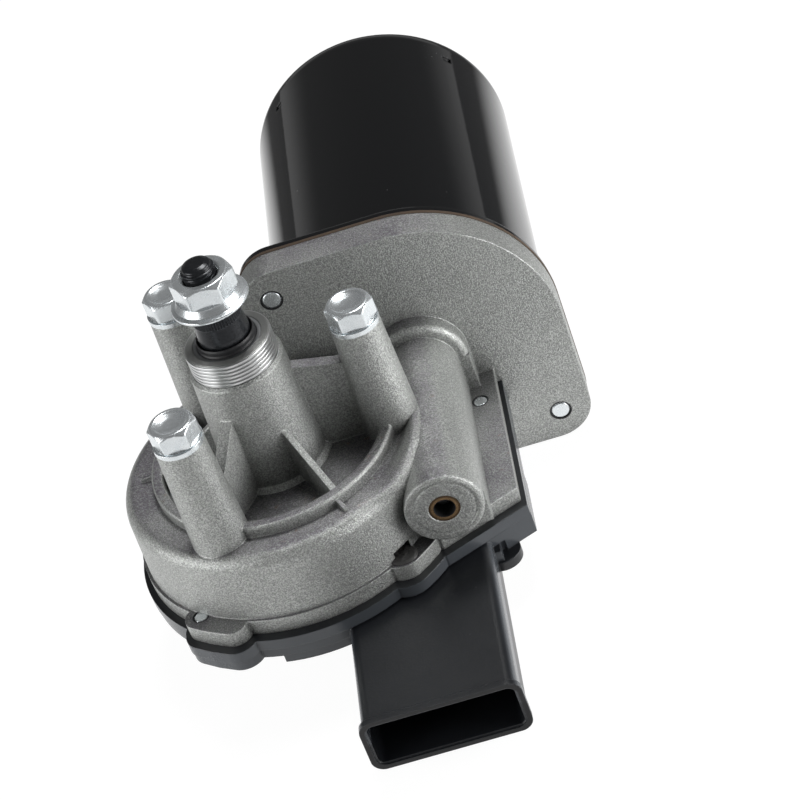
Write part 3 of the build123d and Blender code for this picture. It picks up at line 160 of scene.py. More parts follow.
# ---------------------------------------------------------------- node trees
class Value:
    """A number in a node tree: using it in an expression adds the Math nodes."""

    def __init__(self, tree, socket):
        self.tree, self.socket = tree, socket

    def _math(self, operation, first, second=0.0):
        return self.tree.number("ShaderNodeMath", {"operation": operation}, {0: first, 1: second})

    def __add__(self, other):
        return self._math("ADD", self, other)

    def __radd__(self, other):
        return self._math("ADD", other, self)

    def __sub__(self, other):
        return self._math("SUBTRACT", self, other)

    def __rsub__(self, other):
        return self._math("SUBTRACT", other, self)

    def __mul__(self, other):
        return self._math("MULTIPLY", self, other)

    def __rmul__(self, other):
        return self._math("MULTIPLY", other, self)

    def __pow__(self, other):
        return self._math("POWER", self, other)

    def larger(self, other):
        return self._math("MAXIMUM", self, other)

    def sine(self):
        return self._math("SINE", self)

    def step(self, low, high):
        """Smooth rise from 0 at low to 1 at high."""
        values = {"Value": self, "From Min": low, "From Max": high}
        return self.tree.number("ShaderNodeMapRange", {"interpolation_type": "SMOOTHSTEP"}, values)


class Tree:
    """Adds nodes to one node tree."""

    def __init__(self, tree):
        self.tree = tree

    def node(self, kind, settings=None, values=None):
        made = self.tree.nodes.new(kind)
        for key, value in (settings or {}).items():
            setattr(made, key, value)
        for key, value in (values or {}).items():
            self.feed(made.inputs[key], value)
        return made

    def feed(self, socket, value):
        if isinstance(value, Value):
            value = value.socket
        if isinstance(value, bpy.types.NodeSocket):
            self.tree.links.new(value, socket)
        elif value is not None:
            socket.default_value = value

    def number(self, kind, settings=None, values=None, output=0):
        return Value(self, self.node(kind, settings, values).outputs[output])

    def blend(self, amount, first, second):
        """Mix of two colours."""
        first, second = [(*c, 1.0) if isinstance(c, tuple) else c for c in (first, second)]
        made = self.node("ShaderNodeMix", {"data_type": "RGBA"}, {0: amount, 6: first, 7: second})
        return made.outputs[2]

    def shade(self, colour, amount):
        """A colour made lighter or darker by a number that varies round 1."""
        grey = self.node("ShaderNodeCombineXYZ", {}, {0: amount, 1: amount, 2: amount}).outputs[0]
        first = colour if isinstance(colour, bpy.types.NodeSocket) else tuple(colour)
        return self.node("ShaderNodeVectorMath", {"operation": "MULTIPLY"}, {0: first, 1: grey}).outputs[0]


class Finish(Tree):
    """A material on Object coordinates, with one Principled shader."""

    def __init__(self, name):
        self.material = bpy.data.materials.get(name) or bpy.data.materials.new(name)
        self.material.use_nodes = True
        super().__init__(self.material.node_tree)
        self.tree.nodes.clear()
        self.place = self.node("ShaderNodeTexCoord").outputs["Object"]
        self.output = self.node("ShaderNodeOutputMaterial")

    def grain(self, scale, detail=2.0, roughness=0.5, stretch=None):
        """Noise between 0 and 1, with its scale per metre."""
        place = self.place
        if stretch:
            place = self.node("ShaderNodeMapping", {}, {"Vector": place, "Scale": stretch}).outputs[0]
        values = {"Vector": place, "Scale": scale, "Detail": detail, "Roughness": roughness}
        return self.number("ShaderNodeTexNoise", {}, values)

    def cells(self, scale):
        """Distance to the nearest cell point, 0 at the points."""
        return self.number("ShaderNodeTexVoronoi", {"feature": "F1"}, {"Vector": self.place, "Scale": scale})

    def axes(self, centre=(0.0, 0.0, 0.0)):
        away = tuple(-c for c in centre)
        moved = self.node("ShaderNodeMapping", {}, {"Vector": self.place, "Location": away})
        split = self.node("ShaderNodeSeparateXYZ", {}, {0: moved.outputs[0]})
        return [Value(self, split.outputs[i]) for i in range(3)]

    def turn(self, first, second):
        """Angle round an axis from the two coordinates square to it."""
        return self.number("ShaderNodeMath", {"operation": "ARCTAN2"}, {0: first, 1: second})

    def bump(self, height, distance, strength=1.0, under=None):
        values = {"Height": height, "Distance": distance, "Strength": strength, "Normal": under}
        return self.node("ShaderNodeBump", {}, values).outputs[0]

    def soft(self, radius):
        """The surface's direction, rounded along the sharp edges."""
        return self.node("ShaderNodeBevel", {"samples": 4}, {"Radius": radius}).outputs[0]

    def edges(self, soft):
        """1 along the edges that soft rounds, 0 on the faces."""
        flat = self.node("ShaderNodeNewGeometry").outputs["Normal"]
        same = self.number("ShaderNodeVectorMath", {"operation": "DOT_PRODUCT"}, {0: soft, 1: flat}, "Value")
        return (1 - same).step(0.002, 0.12)

    def hollows(self, reach):
        """1 in the open, falling to 0 in narrow corners."""
        return self.number("ShaderNodeAmbientOcclusion", {"samples": 4}, {"Distance": reach}, "AO")

    def facing(self):
        """Upward part of the surface's direction."""
        split = self.node("ShaderNodeSeparateXYZ", {}, {0: self.node("ShaderNodeTexCoord").outputs["Normal"]})
        return Value(self, split.outputs[2])

    def close(self, **sockets):
        values = {key.replace("_", " "): value for key, value in sockets.items()}
        shader = self.node("ShaderNodeBsdfPrincipled", {}, values)
        self.tree.links.new(shader.outputs[0], self.output.inputs["Surface"])
        return self.material


def cast_aluminium(colours):
    """Shot-blasted casting with specks, pits and a turned collar; its up-facing flats are painted darker
    purple-grey as shade, with brown stains, its recesses are painted darker as shade, and its edges are
    painted brighter, partly wear and partly painted highlight.
    """
    f = Finish("cast_aluminium")
    fine, coarse, patch = f.grain(2900, 2.0, 0.75), f.grain(1300, 2.0), f.grain(60, 3.0)
    specks, pits = fine.step(0.40, 0.66), f.cells(1300).step(0.05, 0.30)
    x, y, z = f.axes()
    reach = (x * x + y * y) ** 0.5
    turned = (1 - reach.step(0.0100, 0.0102)) * z.step(-0.0003, -0.0001)
    cast = 1 - turned
    soft = f.soft(0.0005)
    edge = f.edges(soft)
    flat = f.facing().step(0.86, 0.99) * cast
    # painted shade: this patchy mask of the up-facing flats tints them darker purple-grey below; it also puts
    # brown stains there and makes them rougher
    broad_patches = flat * (0.45 + 0.55 * patch.step(0.36, 0.64))
    # 0.35 * edge paints the edges brighter: partly wear, partly painted highlight
    tone = 0.72 + 0.70 * specks + 0.30 * (coarse - 0.5) + 0.16 * (patch - 0.5) + 0.35 * edge
    # painted shade: the Ambient Occlusion mask darkens the casting in its recesses and narrow corners
    recess_shade = (1 - f.hollows(0.012)).step(0.2, 0.85)
    tone = tone * (0.76 + 0.24 * pits) * (1 - 0.55 * recess_shade) * cast + turned * 0.92
    # painted shade: the up-facing flats turn darker purple-grey
    tint = f.blend(broad_patches * 0.9, tuple(colours.aluminium), (0.165, 0.155, 0.175))
    tint = f.blend(f.grain(1500, 1.0).step(0.52, 0.62) * 0.4 * cast, tint, (0.37, 0.40, 0.36))
    tint = f.blend(f.grain(420, 2.0).step(0.66, 0.8) * broad_patches, tint, (0.26, 0.18, 0.15))
    rings = (reach * 28000.0).sine() * turned * 0.3
    bumps = f.bump((fine + coarse * 0.5 + pits * 0.4) * (cast * 0.85 + 0.15) + rings, 0.00018, 0.8, soft)
    rough = 0.43 + 0.14 * (coarse - 0.5) - 0.12 * edge + 0.06 * broad_patches
    return f.close(
        Base_Color=f.shade(tint, tone), Metallic=0.68 + 0.22 * turned, Roughness=rough, Normal=bumps
    )


def black_paint(colours):
    """Gloss paint with faint orange peel and a little dust."""
    f = Finish("black_paint")
    peel, broad_patches = f.grain(260, 2.0), f.grain(35, 3.0)
    dust = (1 - f.cells(240).step(0.025, 0.055)) * f.grain(90, 1.0).step(0.55, 0.7)
    colour = f.blend(dust * 0.5, tuple(colours.paint), (0.35, 0.36, 0.36))
    rough = 0.055 + 0.03 * (broad_patches - 0.5) + 0.3 * dust
    return f.close(
        Base_Color=colour, Roughness=rough, Normal=f.bump(peel, 0.00002, 0.5, f.soft(0.0006)),
        Coat_Weight=0.3, Coat_Roughness=0.04,
    )


def cover_plastic(colours):
    """Black moulding: the cover's side is painted greyer as a reflection, its edges are painted lighter as
    highlights, and the front of the shroud's mouth is painted near black as shade and made dull.
    """
    f = Finish("cover_plastic")
    skin, patch = f.grain(1500, 2.0), f.grain(40, 3.0)
    soft = f.soft(0.0004)
    edge = f.edges(soft)
    y, z = f.axes()[1:]
    # painted reflection: the cover's side, away from its up-facing faces, is painted greyer below
    side = z.step(-0.0588, -0.0580) * (1 - f.facing().step(0.5, 0.9))
    # painted shade: the front face of the shroud's mouth is painted near black below
    mouth_shade = 1 - y.step(-0.07015, -0.0699)
    dust = (1 - f.cells(300).step(0.02, 0.05)) * f.grain(120, 1.0).step(0.5, 0.65) * (1 - side)
    # painted highlight: the rounded edges are painted lighter grey; patch varies the grey at random
    colour = f.blend(edge * 0.6 + 0.25 * patch, tuple(colours.plastic), (0.032, 0.036, 0.041))
    colour = f.blend(side * (0.45 + 0.4 * patch), colour, (0.085, 0.094, 0.105))
    colour = f.blend(mouth_shade * (1 - edge), f.blend(dust * 0.4, colour, (0.2, 0.2, 0.2)), (0.002, 0.002, 0.003))
    rough = 0.33 + 0.12 * (patch - 0.5) + 0.06 * (skin - 0.5) - 0.08 * side + 0.3 * mouth_shade
    return f.close(
        Base_Color=colour, Roughness=rough, Normal=f.bump(skin, 0.00004, 0.5, soft), Specular_IOR_Level=0.5
    )


def zinc_steel(colours):
    """Bright zinc with cloudy patches."""
    f = Finish("zinc_steel")
    cloud, fine = f.grain(420, 3.0), f.grain(2400, 2.0)
    colour = f.blend(cloud, tuple(colours.zinc), (0.76, 0.81, 0.84))
    return f.close(
        Base_Color=colour, Metallic=0.82, Roughness=0.15 + 0.16 * cloud + 0.05 * fine,
        Normal=f.bump(fine * 0.5 + cloud, 0.00004, 0.4, f.soft(0.0002)),
    )


def dark_steel(colours):
    """Black-oxidised steel, worn bright along its edges."""
    f = Finish("dark_steel")
    fine = f.grain(1600, 2.0)
    soft = f.soft(0.0002)
    colour = f.blend(f.edges(soft) * 0.7 + 0.3 * fine, (0.010, 0.011, 0.013), (0.08, 0.085, 0.095))
    return f.close(
        Base_Color=colour, Metallic=0.4, Roughness=0.16 + 0.12 * fine, Normal=f.bump(fine, 0.00003, 0.4, soft)
    )


def turned_metal(name, colour, other, roughness, axis):
    """Machined or drawn metal with fine marks along one axis."""
    f = Finish(name)
    stretch = [40.0, 40.0, 40.0]
    stretch[axis] = 9000.0
    lines, patch = f.grain(1.0, 2.0, 0.6, tuple(stretch)), f.grain(150, 2.0)
    tint = f.blend(patch * 0.7 + 0.3 * lines, colour, other)
    return f.close(
        Base_Color=tint, Metallic=1.0, Roughness=roughness + 0.12 * (lines - 0.5),
        Normal=f.bump(lines, 0.00002, 0.4, f.soft(0.0002)),
    )


def plain_steel(colours):
    return turned_metal("plain_steel", (0.50, 0.51, 0.53), (0.62, 0.63, 0.64), 0.30, 1)


def dull_steel(colours):
    return turned_metal("dull_steel", (0.26, 0.265, 0.275), (0.34, 0.345, 0.35), 0.42, 2)


def bronze(colours):
    """Sintered bronze with open pores, its front rim dull and its bore painted near black as shade."""
    f = Finish("bronze")
    x, y, z = f.axes((WORM_AXIS.x, 0.0, WORM_AXIS.z))
    reach = (x * x + z * z) ** 0.5
    # painted shade: the bore is painted near black, not metallic, and rougher
    bore = (1 - reach.step(0.00246, 0.0026)) * (1 - y.step(-0.0182, -0.018))
    rim = reach.step(0.0029, 0.0033)
    pores, patch = f.cells(2600).step(0.1, 0.4), f.grain(500, 2.0)
    colour = f.blend(pores, (0.10, 0.06, 0.03), (0.36, 0.23, 0.12))
    colour = f.blend(rim * 0.85, colour, (0.10, 0.07, 0.045))
    colour = f.blend(bore, colour, (0.004, 0.004, 0.005))
    return f.close(
        Base_Color=colour, Metallic=0.85 * (1 - bore), Roughness=0.34 + 0.14 * patch + 0.3 * bore,
        Normal=f.bump(pores, 0.00004, 0.6),
    )


def copper(colours):
    """Enamelled wire: fine turns lie along the core and round the end bundles."""
    f = Finish("copper")
    x, z = f.axes((WORM_AXIS.x, 0.0, WORM_AXIS.z))[::2]
    ridge = (f.turn(x, z) * 90.0).sine()
    patch = f.grain(300, 2.0)
    colour = f.blend(patch * 0.6 + 0.2 * ridge, (0.42, 0.14, 0.05), (0.68, 0.30, 0.13))
    return f.close(
        Base_Color=colour, Metallic=0.85, Roughness=0.26 + 0.1 * patch, Coat_Weight=0.5,
        Normal=f.bump(ridge, 0.0002, 0.7),
    )


def brass_strip(colours):
    return turned_metal("brass_strip", (0.62, 0.45, 0.18), (0.74, 0.58, 0.28), 0.26, 0)


def tin_plate(colours):
    return turned_metal("tin_plate", (0.62, 0.62, 0.60), (0.74, 0.74, 0.72), 0.24, 0)


def seal_rubber(colours):
    """Black rubber with a fine skin."""
    f = Finish("seal_rubber")
    skin = f.grain(1400, 2.0)
    colour = f.blend(skin, (0.006, 0.006, 0.007), (0.022, 0.022, 0.024))
    return f.close(Base_Color=colour, Roughness=0.40 + 0.14 * skin, Normal=f.bump(skin, 0.00005, 0.5))


def gasket_fibre(colours):
    """Pressed fibre sheet with strands in its plane."""
    f = Finish("gasket_fibre")
    strands, patch = f.grain(1.0, 3.0, 0.7, (700.0, 5000.0, 700.0)), f.grain(260, 3.0)
    colour = f.shade(f.blend(patch, tuple(colours.gasket), (0.095, 0.063, 0.04)), 0.6 + 0.8 * strands)
    return f.close(Base_Color=colour, Roughness=0.78 + 0.1 * patch, Normal=f.bump(strands, 0.0001, 0.7))


def moulded(name, colour, other, roughness):
    """Plain moulded plastic with a faint flow pattern."""
    f = Finish(name)
    flow, skin = f.grain(120, 3.0), f.grain(1200, 2.0)
    return f.close(
        Base_Color=f.blend(flow, colour, other), Roughness=roughness + 0.1 * (flow - 0.5),
        Normal=f.bump(skin, 0.00003, 0.4, f.soft(0.0002)),
    )


def gear_plastic(colours):
    return moulded("gear_plastic", (0.72, 0.70, 0.60), (0.80, 0.78, 0.70), 0.32)


def card_plastic(colours):
    return moulded("card_plastic", (0.14, 0.07, 0.03), (0.22, 0.12, 0.06), 0.5)


def ferrite(colours):
    """Dull grey pressed ceramic magnet."""
    f = Finish("ferrite")
    fine, patch = f.grain(2600, 3.0), f.grain(90, 2.0)
    colour = f.blend(fine * 0.6 + 0.4 * patch, (0.035, 0.036, 0.04), (0.085, 0.087, 0.09))
    return f.close(Base_Color=colour, Roughness=0.55 + 0.15 * patch, Normal=f.bump(fine, 0.00005, 0.5))


def carbon(colours):
    """Rough black carbon."""
    f = Finish("carbon")
    fine = f.grain(3200, 3.0)
    colour = f.blend(fine, (0.012, 0.012, 0.013), (0.06, 0.058, 0.055))
    return f.close(Base_Color=colour, Roughness=0.42 + 0.2 * fine, Normal=f.bump(fine, 0.00004, 0.5))


def machined_aluminium(colours):
    """Turned face of the collar, brighter than the blasted casting."""
    f = Finish("machined_aluminium")
    marks = f.grain(1.0, 2.0, 0.6, (500.0, 500.0, 9000.0))
    patch = f.grain(300, 2.0)
    colour = f.blend(marks * 0.6 + patch * 0.4, (0.58, 0.585, 0.59), (0.80, 0.81, 0.81))
    return f.close(
        Base_Color=colour, Metallic=1.0, Roughness=0.24 + 0.12 * patch, Normal=f.bump(marks, 0.00003, 0.5)
    )


def laminated_steel(colours):
    """Thin sheets of the core, stacked along the shaft."""
    f = Finish("laminated_steel")
    y = f.axes()[1]
    sheets = (y * (2 * math.pi / 0.0005)).sine() * 0.5 + 0.5
    patch = f.grain(200, 2.0)
    colour = f.blend(sheets * 0.7 + 0.3 * patch, (0.16, 0.16, 0.17), (0.45, 0.45, 0.46))
    return f.close(
        Base_Color=colour, Metallic=0.9, Roughness=0.38 + 0.12 * patch, Normal=f.bump(sheets, 0.00005, 0.6)
    )


def lead_insulation(colours):
    return moulded("lead_insulation", (0.02, 0.05, 0.12), (0.03, 0.07, 0.16), 0.42)


FINISHES = [
    cast_aluminium, black_paint, cover_plastic, zinc_steel, dark_steel, plain_steel, bronze, copper,
    brass_strip, tin_plate, dull_steel, seal_rubber, gasket_fibre, gear_plastic, card_plastic, ferrite,
    carbon, machined_aluminium, laminated_steel, lead_insulation,
]
OWN_FINISH = {"lamination_stack": "laminated_steel", "motor_leads": "lead_insulation"}


# ---------------------------------------------------------------- meshes
def finish_piece(obj, body, material=None, replaces=(), smooth=40.0):
    """Smooth shading, material and body of a finished piece."""
    mesh = obj.data
    if material:
        mesh.materials.clear()
        mesh.materials.append(bpy.data.materials[material])
    mesh.shade_smooth()
    mesh.set_sharp_from_angle(angle=math.radians(smooth))
    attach(obj, body)
    if replaces:
        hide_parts(*replaces)
    return obj


def new_piece(name, points, faces):
    mesh = bpy.data.meshes.new(name)
    mesh.from_pydata([mm(*p) for p in points], [], faces)
    mesh.validate()
    obj = bpy.data.objects.new(name, mesh)
    bpy.context.scene.collection.objects.link(obj)
    return obj


def lathe(rings, steps, shape=None, place=(0.0, 0.0), closed=False):
    """Points and faces of a turned form from (radius, height) rings, listed upwards along its outside."""
    points, faces, rows = [], [], []
    for radius, height in rings:
        if radius <= 0 and not closed:
            rows.append([len(points)])
            points.append((place[0], place[1], height))
            continue
        rows.append(list(range(len(points), len(points) + steps)))
        for i in range(steps):
            angle = 2 * math.pi * i / steps
            r, h = shape(radius, height, angle) if shape else (radius, height)
            points.append((place[0] + r * math.cos(angle), place[1] + r * math.sin(angle), h))
    pairs = list(zip(rows, rows[1:]))
    if closed:
        pairs.append((rows[-1], rows[0]))
    for low, high in pairs:
        for i in range(steps):
            j = (i + 1) % steps
            if len(low) == 1 and len(high) > 1:
                faces.append((low[0], high[j], high[i]))
            elif len(high) == 1 and len(low) > 1:
                faces.append((low[i], low[j], high[0]))
            elif len(low) > 1:
                faces.append((low[i], low[j], high[j], high[i]))
    return points, faces


def turned_rear(points):
    """Turned points with their axis laid along +Y."""
    return [(x, z, -y) for x, y, z in points]


def turned_front(points):
    """Turned points with their axis laid along -Y."""
    return [(x, -z, y) for x, y, z in points]


def rounded(corners, radius, steps=5):
    """A (radius, height) outline with its inner corners rounded."""
    out = [corners[0]]
    for before, corner, after in zip(corners, corners[1:], corners[2:]):
        a, b, c = Vector(before), Vector(corner), Vector(after)
        reach = min(radius, (a - b).length * 0.45, (c - b).length * 0.45)
        start, end = b + (a - b).normalized() * reach, b + (c - b).normalized() * reach
        for i in range(steps + 1):
            t = i / steps
            out.append(tuple(start * (1 - t) ** 2 + b * 2 * t * (1 - t) + end * t * t))
    out.append(corners[-1])
    return out


def filled(outline, longest):
    """The outline with its long runs divided."""
    out = [outline[0]]
    for a, b in zip(outline, outline[1:]):
        across, rise = b[0] - a[0], b[1] - a[1]
        count = max(1, math.ceil(math.dist(a, b) / longest))
        out += [(a[0] + across * i / count, a[1] + rise * i / count) for i in range(1, count + 1)]
    return out


def at_angle(stations, angle):
    """Values between the two (angle, value, value) stations round an angle."""
    for (a, *first), (b, *second) in zip(stations, stations[1:]):
        if angle <= b:
            t = (angle - a) / (b - a)
            return [x + (y - x) * t for x, y in zip(first, second)]
    return stations[-1][1:]


def hexagon_radius(across_flats, angle, sharpness):
    """Radius of a hexagon with slightly rounded corners, flats at 30, 90, ... degrees."""
    total = sum(max(math.cos(angle - math.radians(30 + 60 * i)), 0.0) ** sharpness for i in range(6))
    return across_flats / 2 * total ** (-1 / sharpness)


def hexagon_shape(across_flats, sharpness, base, top):
    """Pulls lathe points between two heights in to a hexagon."""
    def shape(radius, height, angle):
        if base <= height <= top:
            radius = min(radius, hexagon_radius(across_flats, angle, sharpness))
        return radius, height
    return shape


def from_nodes(name, tree, inputs):
    """Run a Geometry Nodes tree on an empty mesh and keep the result as a plain mesh."""
    obj = bpy.data.objects.new(name, bpy.data.meshes.new(name))
    bpy.context.scene.collection.objects.link(obj)
    modifier = obj.modifiers.new(name, "NODES")
    modifier.node_group = tree
    for item in tree.interface.items_tree:
        if item.item_type == "SOCKET" and item.in_out == "INPUT" and item.name in inputs:
            modifier[item.identifier] = inputs[item.name]
    evaluated = obj.evaluated_get(bpy.context.evaluated_depsgraph_get())
    mesh = bpy.data.meshes.new_from_object(evaluated)
    obj.modifiers.remove(modifier)
    obj.data = mesh
    return obj


def geometry_tree(name, inputs, material):
    """A Geometry Nodes tree with named inputs; ends in Realize Instances and Set Material."""
    group = bpy.data.node_groups.new(name, "GeometryNodeTree")
    for label, kind, default in inputs:
        socket = group.interface.new_socket(name=label, in_out="INPUT", socket_type=kind)
        socket.default_value = default
    group.interface.new_socket(name="Geometry", in_out="OUTPUT", socket_type="NodeSocketGeometry")
    tree = Tree(group)
    given = tree.node("NodeGroupInput")

    def end(geometry):
        real = tree.node("GeometryNodeRealizeInstances", {}, {"Geometry": geometry}).outputs[0]
        values = {"Geometry": real, "Material": bpy.data.materials[material]}
        done = tree.node("GeometryNodeSetMaterial", {}, values)
        tree.node("NodeGroupOutput", {}, {0: done.outputs[0]})
        return group

    return tree, given.outputs, end


def rings_tree(material):
    """Equal rings stacked along Z."""
    tree, given, end = geometry_tree("ring_stack", [
        ("Radius", "NodeSocketFloat", 0.01), ("Land", "NodeSocketFloat", 0.0007),
        ("Edge", "NodeSocketFloat", 0.0001), ("Pitch", "NodeSocketFloat", 0.001),
        ("Base", "NodeSocketFloat", 0.0), ("Count", "NodeSocketInt", 5),
    ], material)
    path = tree.node("GeometryNodeCurvePrimitiveCircle", {}, {"Resolution": 144, "Radius": given["Radius"]})
    wire = tree.node("GeometryNodeCurvePrimitiveQuadrilateral", {}, {
        "Width": given["Land"], "Height": given["Land"],
    })
    eased = tree.node("GeometryNodeFilletCurve", {"mode": "POLY"}, {
        "Curve": wire.outputs[0], "Count": 3, "Radius": given["Edge"],
    })
    ring = tree.node("GeometryNodeCurveToMesh", {}, {0: path.outputs[0], 1: eased.outputs[0]})
    start = tree.node("ShaderNodeCombineXYZ", {}, {2: given["Base"]})
    step = tree.node("ShaderNodeCombineXYZ", {}, {2: given["Pitch"]})
    line = tree.node("GeometryNodeMeshLine", {}, {
        "Count": given["Count"], "Start Location": start.outputs[0], "Offset": step.outputs[0],
    })
    stack = tree.node("GeometryNodeInstanceOnPoints", {}, {
        "Points": line.outputs[0], "Instance": ring.outputs[0],
    })
    return end(stack.outputs[0])


def places_tree(part, places, material):
    """One made part set on every point of a mesh."""
    tree, given, end = geometry_tree("on_places", [("Scale", "NodeSocketFloat", 1.0)], material)
    points = tree.node("GeometryNodeObjectInfo", {}, {"Object": places})
    source = tree.node("GeometryNodeObjectInfo", {}, {"Object": part})
    put = tree.node("GeometryNodeInstanceOnPoints", {}, {
        "Points": points.outputs["Geometry"], "Instance": source.outputs["Geometry"], "Scale": given["Scale"],
    })
    return end(put.outputs[0])


def set_on(name, points, faces, places, material):
    """Copies of one part, its shape given once, on a list of places in millimetres."""
    part = new_piece(name + "_pattern", points, faces)
    spots = new_piece(name + "_places", places, [])
    copies = from_nodes(name, places_tree(part, spots, material), {"Scale": 1.0})
    for helper in (part, spots):
        bpy.data.objects.remove(helper)
    return copies


# ---------------------------------------------------------------- operators
class MOTOR_OT_finishes(bpy.types.Operator):
    """Make every finish and lay it on the solid parts"""
    bl_idname = "motor.finishes"
    bl_label = "Finishes"

    def execute(self, context):
        for make in FINISHES:
            make(context.scene.motor_finish)
        slots = {part["node"]: part["material_slot"] for part in frame["record"]["subparts"]}
        for name, obj in NODES.items():
            material = bpy.data.materials[OWN_FINISH.get(name, slots[name])]
            if not obj.material_slots:
                obj.data.materials.append(material)
            for slot in obj.material_slots:
                slot.material = material
        return {"FINISHED"}


class MOTOR_OT_collar(bpy.types.Operator):
    """Turned lands and grooves round the pilot collar"""
    bl_idname = "motor.collar"
    bl_label = "Collar Grooves"

    def execute(self, context):
        sizes = context.scene.motor_sizes
        rings = from_nodes("collar_grooves", rings_tree("machined_aluminium"), {
            "Radius": 0.01012 - sizes.groove_land / 2, "Land": sizes.groove_land, "Edge": 0.00012,
            "Pitch": sizes.groove_pitch, "Base": 0.00048, "Count": sizes.groove_count,
        })
        finish_piece(rings, "gearbox", smooth=70)
        return {"FINISHED"}


class MOTOR_OT_shaft(bpy.types.Operator):
    """Output shaft with serrated band, smooth taper, thread and domed end"""
    bl_idname = "motor.shaft"
    bl_label = "Output Shaft"

    def execute(self, context):
        sizes = context.scene.motor_sizes
        low, high = SHAFT_LOW.z / MM, SHAFT_HIGH.z / MM
        plain = rounded([
            (0, low), (4.0, low), (4.0, -37.2), (6.0, -37.2), (6.0, 2.6), (5.4, 2.6), (5.4, 3.6), (6.0, 3.6),
            (6.0, 8.7),
        ], 0.25)
        cut = rounded([
            (6.0, 8.7), (5.55, 12.4), (5.75, 12.6), (5.3, 16.3), (3.9, 16.5), (3.9, high - 1.5),
            (3.35, high - 1.3), (3.25, high - 0.5), (2.2, high), (0, high),
        ], 0.25)
        teeth, depth = sizes.serrations, sizes.serration_depth / MM
        pitch, thread = sizes.thread_pitch / MM, sizes.thread_depth / MM
        band_low, band_high = 12.55, 16.4
        thread_low, thread_high = 16.6, high - 1.6

        def shape(radius, height, angle):
            if band_low < height < band_high:
                radius -= depth * (0.5 + 0.5 * math.cos(teeth * angle))
            if thread_low < height < thread_high:
                turn = (height / pitch - angle / (2 * math.pi)) % 1.0
                radius -= thread * abs(2 * turn - 1)
            return radius, height

        points, faces = lathe(filled(plain, 2.0)[:-1] + filled(cut, 0.2), teeth * 6, shape)
        shaft = new_piece("shaft_body", points, faces)
        finish_piece(shaft, "output", "dark_steel", ["output_shaft"], 30)
        return {"FINISHED"}


class MOTOR_OT_nut(bpy.types.Operator):
    """Flanged hexagon nut with chamfered corners and countersunk bore"""
    bl_idname = "motor.nut"
    bl_label = "Flange Nut"

    def execute(self, context):
        across_flats = 13.0
        low, high = NUT_LOW.z / MM, NUT_HIGH.z / MM
        outline = rounded([
            (4.0, low), (8.3, low), (8.95, low + 0.35), (8.95, low + 0.95), (7.9, low + 1.25),
            (7.0, low + 2.9), (7.6, low + 3.2), (7.6, high - 1.2), (6.2, high), (4.75, high),
            (4.0, high - 0.75), (4.0, low),
        ], 0.18)
        shape = hexagon_shape(across_flats, context.scene.motor_sizes.corner_round, low + 3.0, high)
        points, faces = lathe(filled(outline, 0.22)[:-1], 180, shape, closed=True)
        nut = new_piece("nut_body", points, faces)
        finish_piece(nut, "output", "zinc_steel", ["flange_nut"], 28)
        return {"FINISHED"}


class MOTOR_OT_bolts(bpy.types.Operator):
    """Dished hexagon bolts on the three posts"""
    bl_idname = "motor.bolts"
    bl_label = "Mounting Bolts"

    def execute(self, context):
        across_flats = 10.0
        low, high = WASHER_TOP / MM, BOLT_HIGH.z / MM
        outline = rounded([
            (0, BOLT_LOW.z / MM), (3.0, BOLT_LOW.z / MM), (3.0, low), (5.0, low), (5.0, low + 0.25),
            (5.8, low + 0.3), (5.8, high - 1.15), (4.7, high), (4.0, high), (3.5, high - 0.3),
            (2.0, high - 0.65), (0, high - 0.75),
        ], 0.35)
        shape = hexagon_shape(across_flats, context.scene.motor_sizes.corner_round, low + 0.28, high)
        points, faces = lathe(filled(outline, 0.25), 120, shape)
        bolts = set_on("bolt_bodies", points, faces, POST_POINTS, "zinc_steel")
        finish_piece(bolts, "gearbox", replaces=["mounting_bolts"], smooth=28)
        return {"FINISHED"}


class MOTOR_OT_cover_screws(bpy.types.Operator):
    """Screws of the cover, with lobed recesses and chamfered ends"""
    bl_idname = "motor.cover_screws"
    bl_label = "Cover Screws"

    def execute(self, context):
        low, high = COVER_SCREW_LOW.z / MM, COVER_SCREW_HIGH.z / MM
        outline = rounded([
            (0, low + 1.3), (1.3, low + 1.3), (1.5, low + 0.1), (2.4, low), (3.25, low + 0.45),
            (3.6, low + 1.1), (3.6, low + 2.2), (1.8, low + 2.2), (1.8, high - 0.32), (1.48, high),
            (0, high + 0.04),
        ], 0.15)
        lobes, lobe_depth, recess_radius, recess_top = 6, 0.16, 1.6, low + 1.4

        def shape(radius, height, angle):
            if radius < recess_radius and height < recess_top:
                radius *= 1 + lobe_depth * math.cos(lobes * angle)
            return radius, height

        points, faces = lathe(filled(outline, 0.3), 72, shape)
        screws = set_on("cover_screw_bodies", points, faces, COVER_SCREW_POINTS, "zinc_steel")
        finish_piece(screws, "gearbox", replaces=["cover_screws"], smooth=32)
        return {"FINISHED"}


class MOTOR_OT_can_screws(bpy.types.Operator):
    """Hexagon screws of the can, with chamfered ends"""
    bl_idname = "motor.can_screws"
    bl_label = "Can Screws"

    def execute(self, context):
        tip, top = CAN_SCREW_LOW.y / MM, CAN_SCREW_HIGH.y / MM
        outline = rounded([
            (0, tip), (1.95, tip), (2.45, tip + 0.42), (2.45, top - 3.4), (CAN_SCREW_RADIUS, top - 3.4),
            (CAN_SCREW_RADIUS, top - 0.9), (3.9, top), (2.7, top), (2.3, top - 0.35), (0, top - 0.45),
        ], 0.16)
        shape = hexagon_shape(CAN_SCREW_FLATS, context.scene.motor_sizes.corner_round, top - 3.35, top)
        points, faces = lathe(filled(outline, 0.4), 96, shape)
        screws = set_on("can_screw_bodies", turned_rear(points), faces, CAN_SCREW_POINTS, "zinc_steel")
        finish_piece(screws, "gearbox", replaces=["can_screws"], smooth=32)
        return {"FINISHED"}


